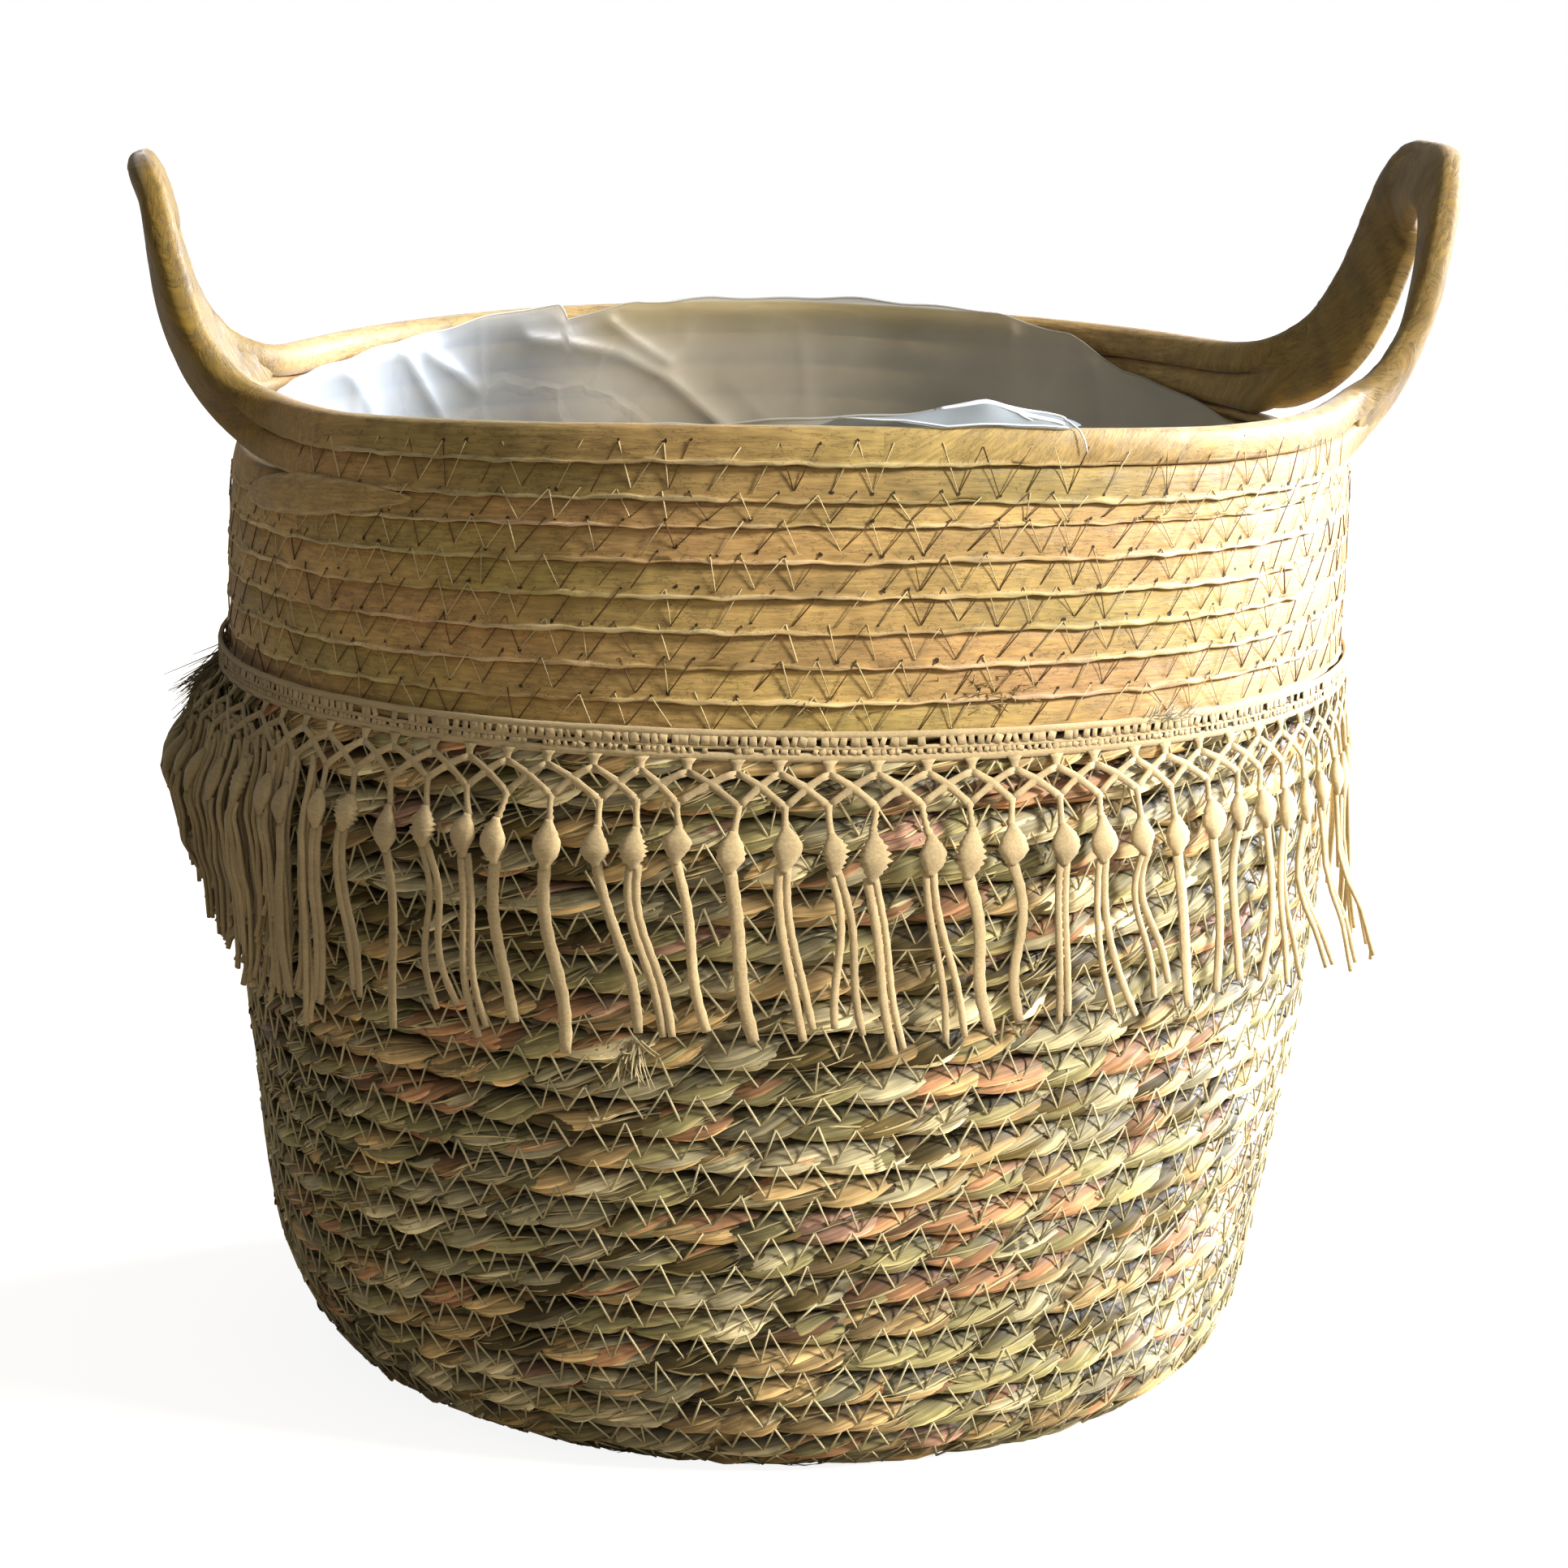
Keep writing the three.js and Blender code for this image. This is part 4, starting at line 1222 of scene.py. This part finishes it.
def addStrands(start, startDrop, dice, add):
    # a tassel is one cord, a ribbon of two cords held by rungs, or two cords that part
    count, stations = len(start), 20
    t = np.linspace(0, 1, stations)
    column = lambda values: values[:, None]
    # the whole fringe drifts to the right round the front, most near its middle
    drift = 7.0 * hump(degreesFrom(start) + 92, 36) + dice.normal(1.0, 2.4, count)
    length = trim["strandLength"] * (1 - 0.38 * trimBulge(start, 16)) + dice.normal(0, 2.2, count)
    length = length + 7 * hump(degreesFrom(start) + 142, 14)
    kind = dice.choice(3, count, p=[0.36, 0.36, 0.28])
    curve, bend, lean = (dice.normal(0, size, count) for size in (1.5, 0.8, 0.7))
    shift = column(curve) * np.sin(math.pi * t) + column(bend) * np.sin(fullTurn * t)
    shift = shift + column(drift) * t ** 1.3
    near = np.array([0.0, 1.0, 0.95])[kind]                  # how far apart two cords start
    rough = 1 + 0.07 * np.where(np.arange(stations) % 2, 1, -1)
    for side in (-1, 1):
        far = np.array([0.0, 1.15, 1.0])[kind] + np.where(kind == 2, np.abs(dice.normal(1.2, 1.0, count)), 0)
        angle = column(start) + (side * (column(near) + column(far - near) * t ** 1.6) + shift) * aside
        drop = column(startDrop) - 1.0 + column(length + dice.normal(0, 1.2, count)) * t
        lift = 0.3 + column(lean) * np.sin(math.pi * t) + 0.3 * side * np.sin(4 * t + side + 3.0)
        wide = trim["strandWidth"] * np.where(kind == 0, 1.2, 0.82) * dice.uniform(0.85, 1.15, count)
        width = column(wide) * rough * np.where(t > 0.97, 0.8, 1)
        keep = (kind > 0) | (side > 0)
        add(angle[keep], drop[keep], width[keep], 1.2, lift[keep])
    addRungs(angle[kind == 1], drop[kind == 1], lift[kind == 1], dice, add)


def addRungs(angle, drop, lift, dice, add):
    # small cross threads between the two cords of a ribbon, down to where they part
    places = np.linspace(0.06, 0.72, 13)
    t = np.linspace(0, 1, angle.shape[1])
    placed = lambda rows: np.stack([np.interp(places, t, row) for row in rows])
    angle, drop, lift = placed(angle), placed(drop), placed(lift)
    keep = dice.random(angle.shape) < 0.85
    angle, drop, lift = (rows[keep][:, None] for rows in (angle, drop, lift))
    path = angle + np.array([-2.1, 0.2]) * aside
    add(path, np.repeat(drop, 2, 1), dice.uniform(0.7, 1.5, (len(path), 1)), 0.9, lift, sides=6)


brush = {   # the thick left end: layers of parallel strands between the net and the wall
    "from": 160,               # degrees
    "to": 222,
    "layers": ((70, 12), (84, 9), (84, 7), (70, 6)),        # count and how far below the tape they start
    "ends": {160: 34, 180: 46, 190: 52, 200: 62, 210: 76, 222: 80},
    "layerDepth": 3.1,
    "stations": 16,
}


def addBrush(dice, add):
    t = np.linspace(0, 1, brush["stations"])
    arch = np.sin(math.pi * t)
    for layer, (count, start) in enumerate(brush["layers"]):
        some = lambda middle, size: dice.normal(middle, size, count)[:, None]
        angle = np.radians(dice.uniform(brush["from"], brush["to"], count))
        near = trimBulge(angle, 24)
        end = readOff(brush["ends"], np.degrees(angle))
        end = end * np.where(dice.random(count) < 0.35, dice.uniform(0.6, 1, count), 1)
        top = start + dice.uniform(-2, 3, count)
        drop = top[:, None] + ((end - top)[:, None] + some(0, 2.5)) * t
        bend = some(0, 1.2) * arch + some(0.6, 1.6) * t + some(0, 0.5) * np.sin(2.5 * math.pi * t)
        inward = (0.8 + layer * brush["layerDepth"]) * near + 0.4 * layer
        lift = some(0, 0.8) * arch - inward[:, None] * arch ** 0.5
        width = dice.uniform(1.1, 2.6, count)[:, None] * (1 + 0.08 * np.where(np.arange(len(t)) % 2, 1, -1))
        keep = dice.random(count) < 0.35 + 0.65 * near
        add((angle[:, None] + bend * aside)[keep], drop[keep], width[keep], 1.3, lift[keep], sides=6)


makeTape()
makeFringe()


# Frayed ends: a dark tuft at the left of the tape, a pale one in the fringe and torn straw above the tape

tufts = {   # radius, angle and its spread, height and its spread, fibre length and count, way it points
            # (round, down, out), how much its fibres stray, fibre thickness, tone
    "dark": (157.5, 188, 3.4, 204, 3.4, 18, 200, (0.0, -0.85, 0.9), 0.14, 0.34, "7b6c49"),
    "darkLow": (162, 190, 8, 197, 6, 15, 130, (0.0, -1.0, 0.55), 0.14, 0.34, "887853"),
    "pale": (159.5, -103, 1.1, 126, 2.0, 9, 46, (0.1, -1.0, 0.45), 0.42, 0.5, "c9b98c"),
    "tornStraw": (156.6, -71, 4.2, 218, 4.0, 7, 60, (0.8, 0.3, 0.3), 0.42, 0.34, "cdb27c"),
    "tornStrawLeft": (156.6, -88, 5.0, 215, 2.5, 5, 34, (0.8, 0.5, 0.25), 0.42, 0.34, "b99b63"),
    "frayedTape": (159.6, -52, 3.0, 209, 1.2, 5, 40, (0.6, 0.4, 0.5), 0.42, 0.34, "e2d8bd"),
}


def makeTufts():
    dice = np.random.default_rng(77)
    heap = Heap()
    t = np.linspace(0, 1, 6)[:, None]
    for radius, middle, spread, height, rise, length, count, way, stray, thickness, code in tufts.values():
        angle = np.radians(middle + dice.normal(0, spread / 2, count))
        start = polar(radius, angle, height + dice.normal(0, rise / 2, count))
        aim = way[0] * polar(1, angle + math.pi / 2) + way[2] * polar(1, angle) + np.array([0, 0, way[1]])
        aim = unit(unit(aim) + dice.normal(0, stray, (count, 3)))
        curl = dice.normal(0, stray, (count, 3))
        reach = (length * dice.uniform(0.4, 1.1, count))[:, None, None]
        centre = start[:, None] + aim[:, None] * t * reach + curl[:, None] * reach * t ** 2 * 0.5
        along = unit(np.gradient(centre, axis=1))
        across = unit(np.cross(along, np.array([0.3, 0.2, 1.0])))
        thin = (thickness * (1 - 0.6 * t))[..., None] * oval(4, 1, 0.6)
        points, faces = sweep(centre, across, np.cross(along, across), thin, capped=False)
        colour = tone(code) * dice.uniform(0.6, 1.2, (count, 1))
        heap.add(points, faces, tint=colour[:, None, None], grain=points)
    heap.make("frayed_ends", threadLook, body="basket", slot="cotton_cord")


makeTufts()


# Film liner: a thin loose bag, creased, a little higher at the front and folded over the rim there

film = {
    "inside": 5.9,             # from the wall's middle line: half the rope and a small gap
    "floor": 10.5,
    "floorRadius": 104.0,
    "around": 600,
    "floorRows": 10,
    "lowRows": 20,
    "highRows": 84,
    "foldsFrom": 170,          # height above which the creases show
    "hem": 0.36,
    "alpha": 0.76,
    # how the film looks by degrees from +X: white where it stands loose at the left, and the wall's own
    # colour where it lies close at the right, lightened there as painted light because that side lies in
    # shade
    "tones": {55: "d2c8b0", 105: "b5ac98", 124: "7f8180", 140: "8b9194", 156: "a9b1b6", 250: "a8a8a0"},
    "topTone": "a39468",       # close to the top edge at the back the straw shows through
    "floorTone": "a5a49c",
    # height of the top edge round the rim, by degrees from +X
    "edge": {-180: 278, -150: 279, -120: 282, -95: 285.5, -86: 286.5, -79: 288, -70: 290.5, -66: 287,
             -61: 281, -50: 272, -20: 262, 20: 261, 34: 267, 46: 273, 54: 282, 64: 286.5, 78: 287.5,
             100: 287.5, 110: 286.5, 113: 284.5, 119: 281.5, 119.6: 286.5, 126: 286, 135: 283.5,
             146: 281, 160: 278},
    # soft waves: how many round the bag, their slant in mm per mm of height and depth in mm
    "waves": [(7, 0.5, 1.6), (13, -0.4, 0.9), (22, 0.9, 0.5)],
    # sharp creases, each with its depth and width in mm and its places by angle and height
    "creases": [(3.8, 5.0, (148, 286), (142.2, 269.8), (137.5, 255.6), (132, 236)),
                (2.8, 3.2, (140, 275.5), (134.8, 268.3), (131.6, 262.2)),
                (3.0, 3.6, (124.5, 276.9), (118.5, 274.2), (112, 270.5), (105.6, 262.2), (98, 246)),
                (2.0, 2.6, (113.4, 281), (111, 276.1), (105.7, 267.6)),
                (3.2, 5.0, (158, 279), (152, 264), (147, 244)),
                (2.6, 4.0, (173, 273), (166, 262), (163, 243)),
                (1.4, 3.0, (62, 284), (61, 240)), (1.2, 4.0, (50, 274), (47, 238))],
    "strayCreases": 34,
    "creaseDepth": 0.72,
    "mmPerDegree": 2.58,
}


def filmCreases(angle, height):
    # soft waves that slant across the bag, and sharp creases that stand inward
    depth = 0
    for k, (count, slant, size) in enumerate(film["waves"]):
        u = angle * count + height * slant * count / 148 + 0.8 * np.sin(2 * angle + height / 31 + k)
        depth = depth + size * (0.5 + 0.5 * np.cos(u)) ** 1.6
    dice = np.random.default_rng(93)
    lines = list(film["creases"])
    for _ in range(film["strayCreases"]):
        start, tall = dice.uniform(-180, 180), dice.uniform(12, 60)
        end = start + dice.normal(0, 9)
        top = 276 - dice.uniform(0, 1) ** 2 * 60
        middle = ((start + end) / 2 + dice.normal(0, 2), top - tall * 0.5)
        share = 0.45 if 10 < start % 360 < 105 else 1.0        # smoother at the right side of the back
        size, width = dice.uniform(1, 3) * share, dice.uniform(2.5, 5)
        lines.append((size, width, (start, top), middle, (end, top - tall)))
    for size, width, *places in lines:
        near = 1e3
        for (a, b), (c, d) in zip(places, places[1:]):
            x, y = degreesFrom(angle, a) * film["mmPerDegree"], height - b
            run = np.array([(c - a) * film["mmPerDegree"], d - b])
            t = np.clip((x * run[0] + y * run[1]) / (run @ run), 0, 1)
            near = np.minimum(near, np.hypot(x - t * run[0], y - t * run[1]))
        depth = depth + film["creaseDepth"] * size * np.exp(-near / width)
    return depth * np.clip((height - film["foldsFrom"]) / 70, 0, 1)


def filmTint(angle, height, top):
    degrees = np.degrees(angle)
    colours = np.array([tone(code) for code in film["tones"].values()])
    # painted light: the film's colours are lighter round its shaded right side
    tint = np.stack([np.interp(degrees, list(film["tones"]), c, period=360) for c in colours.T], -1)
    close = np.clip((height - top + 15) / 11, 0, 1) * np.clip((118 - degrees) / 6, 0, 1)
    close = close * np.clip((degrees - 55) / 20, 0, 1)
    tint = between(tint, tone(film["topTone"]), 0.8 * close[..., None])
    return between(tint, tone(film["floorTone"]), np.clip((165 - height) / 110, 0, 1)[..., None])


def makeFilm():
    angle = ringAngles(film["around"])
    top = readOff(film["edge"], np.degrees(angle), 360)
    top = top + 0.5 * ripple(angle, (fullTurn / 9, fullTurn / 23, fullTurn / 37), 91)
    row = np.arange(film["floorRows"])[:, None]
    share = np.linspace(0, 1, film["lowRows"], endpoint=False)[:, None]
    low = film["floor"] + 1 + (film["foldsFrom"] - film["floor"]) * share + 0 * angle
    high = between(film["foldsFrom"], top, np.linspace(0, 1, film["highRows"])[:, None])
    sides = np.concatenate([low, high])
    close = np.clip((sides - top + 4) / 4, 0, 1)
    # the inner radius of the wall is carried straight on above the rim
    radius = outlineAt(lengthAtHeight(np.clip(sides, 6, 284)))[0] - film["inside"]
    radius = radius - filmCreases(angle, sides) * (1 - 0.5 * close)
    floorRadius = film["floorRadius"] * (row + 0.05) / film["floorRows"] + 0 * angle
    height = np.concatenate([film["floor"] + 0.4 * np.sin(angle * 5 + row), sides])
    points = polar(np.concatenate([floorRadius, radius]), angle, height)
    look = makeFilmLook("creased_clear_film", film["alpha"])
    faces = [gridQuads(points, closed=True), np.arange(film["around"])[None]]
    makePiece("film_liner", points, faces, look, "liner", "clear_film", stands=["liner_bag"],
              tint=filmTint(angle, height, top))

    # a fine hem along the top edge
    edge = np.concatenate([points[-1], points[-1][:1]])
    along = unit(np.gradient(edge, axis=0))
    across = np.cross(unit(edge * [1, 1, 0]), along)
    hem, faces = sweep(edge, across, np.cross(along, across), oval(6, film["hem"], 0.22), capped=False)
    makePiece("film_liner_hem", hem, faces, makeFilmLook("film_hem", 0.5), "liner", "clear_film",
              tint=tone("c9c6ba"))
    makeFilmFold(makeFilmLook("doubled_clear_film", 0.72))


filmFold = {
    "from": -90, "to": -62.3,
    # by degrees: height of the crest, and how far over the rim the flap reaches
    "crest": {-90: 286.9, -86: 287, -80: 288, -76: 289.6, -71.4: 291.4, -68: 290, -65: 288.9, -63.6: 288.3,
              -62.3: 287},
    "reach": {-90: 0.04, -86: 0.3, -80: 0.6, -76: 0.68, -71.4: 0.64, -68: 0.66, -65: 0.68, -63.6: 0.66,
              -62.3: 0.6},
    # over the rim from its inner side to its outer one: radius and height
    "profile": [(146.6, 279), (147.2, 284), (148.6, 286.3), (151.2, 286.9), (154.2, 286.6), (156.8, 285.0),
                (157.8, 282.6), (158.1, 279.6)],
    # painted highlights as white lines along the flap's creases: degrees, share of the way over the rim and
    # half width, from one end to the other
    "lines": [((-76.5, -70, -64.2), (0.28, 0.36, 0.6), 1.0), ((-76, -72.5, -71), (0.3, 0.28, 0.3), 0.8),
              ((-72, -68.6, -67.4), (0.3, 0.42, 0.56), 0.5), ((-71, -66, -63.4), (0.3, 0.32, 0.46), 0.4),
              ((-86, -76, -70, -64), (0.42, 0.66, 0.63, 0.66), 0.3),
              ((-63.8, -63.0, -62.3), (0.5, 0.66, 1.0), 0.28)],
    "steps": 60,
    "across": 22,
}


def onFold(degrees, share):
    place = np.linspace(0, 1, len(filmFold["profile"]))
    radius, height = (np.interp(share, place, column) for column in np.array(filmFold["profile"]).T)
    stand = (readOff(filmFold["crest"], degrees) - 286.9).clip(0) * hump(share - 0.3, 0.2)
    pucker = 0.15 * np.sin(degrees * 0.9 + share * 7) * np.sin(math.pi * share)
    return polar(radius - 0.3 * stand + pucker, np.radians(degrees), height + stand + 0.25 + pucker)


def makeFilmFold(look):
    # the flap that lies over the front of the rim: it rises to a crest and ends in a thin point outside
    degrees = np.linspace(filmFold["from"], filmFold["to"], filmFold["steps"])[:, None]
    points = onFold(degrees, np.linspace(0, 1, filmFold["across"]) * readOff(filmFold["reach"], degrees))
    makePiece("film_liner_fold", points, [gridQuads(points)], look, "liner", "clear_film",
              tint=tone("9fa7aa"))

    # white strips as painted highlights along the flap's creases
    heap = Heap()
    t = np.linspace(0, 1, 16)
    thin = (0.5 + 0.5 * np.sin(math.pi * t) ** 0.5)[:, None, None]
    for where, shares, wide in filmFold["lines"]:
        knots = np.linspace(0, 1, len(where))
        path = onFold(np.interp(t, knots, where), np.interp(t, knots, shares))
        along = unit(np.gradient(path, axis=0))
        outward = unit(path * [1, 1, 0] + [0, 0, 220])
        side = unit(np.cross(outward, along))
        points, faces = sweep(path + outward * 0.2, side, np.cross(along, side), oval(6, wide, 0.25) * thin)
        heap.add(points, faces, tint=tone("eef1f2"))
    heap.make("film_liner_crease_highlights", makeFilmLook("film_crease_highlight", 0.95), body="liner", slot="clear_film")


def makeFilmLook(name, alpha):
    look, tree, shader = newLook(name)
    tint = addNode(tree, "Attribute", attribute_name="tint")
    place = addNode(tree, "TexCoord").outputs["Object"]
    cloud = addNode(tree, "TexNoise", {"Vector": place, "Scale": 16, "Detail": 6})
    # crumpled cells: their edges are sharp creases, with painted highlights along them where a slow noise
    # lets them through
    bent = addNode(tree, "VectorMath", {0: cloud.outputs["Color"], 1: (0.05, 0.05, 0.05), 2: place},
                   operation="MULTIPLY_ADD")
    cells = addNode(tree, "TexVoronoi", {"Vector": bent, "Scale": 26}, feature="DISTANCE_TO_EDGE")
    patches = addNode(tree, "TexNoise", {"Vector": place, "Scale": 9})
    lines = multiply(tree, mapRange(tree, cells, 1, 0, 0, 0.07), mapRange(tree, patches, 0, 1, 0.45, 0.65))
    sharp = addNode(tree, "Bump", {"Strength": 0.5, "Distance": 0.6 * mm, "Height": lines})
    light = addNode(tree, "Math", {0: lines, 1: 0.12, 2: mapRange(tree, cloud, 0.8, 1.15, 0.32, 0.68)},
                    operation="MULTIPLY_ADD")
    colour = addNode(tree, "VectorMath", {0: tint, "Scale": light}, operation="SCALE")
    bump = addNode(tree, "Bump", {"Strength": 0.55, "Distance": 1.6 * mm, "Height": cloud, "Normal": sharp})
    setInputs(tree, shader, {"Base Color": colour, "Roughness": mapRange(tree, cloud, 0.26, 0.54, 0, 1),
                             "Alpha": alpha, "Specular IOR Level": 0.55, "Normal": bump})
    return look


makeFilm()


# Base: the same rope wound flat under the pot

base = {"outer": 110.6, "inner": 4.0, "height": 4.6, "step": 3.2, "wide": 1.26}


def makeBase():
    turns = (base["outer"] - base["inner"]) / seagrassPitch
    fine = np.linspace(0, turns, 4000)
    run = runOfCoil(fine, base["inner"] + seagrassPitch * fine)
    distance = np.linspace(0, run[-1], int(run[-1] / base["step"]))
    turn = np.interp(distance, run, fine)
    angle = wall["coilStart"] + (turn - turns) * fullTurn
    centre = polar(base["inner"] + seagrassPitch * turn, angle, base["height"])
    makeCore("base_rope_coil", "base_coil_plate", centre, polar(1, angle), centre * 0 - [0, 0, 1.0], distance,
             base["wide"])


makeBase()


bpy.context.view_layer.update()
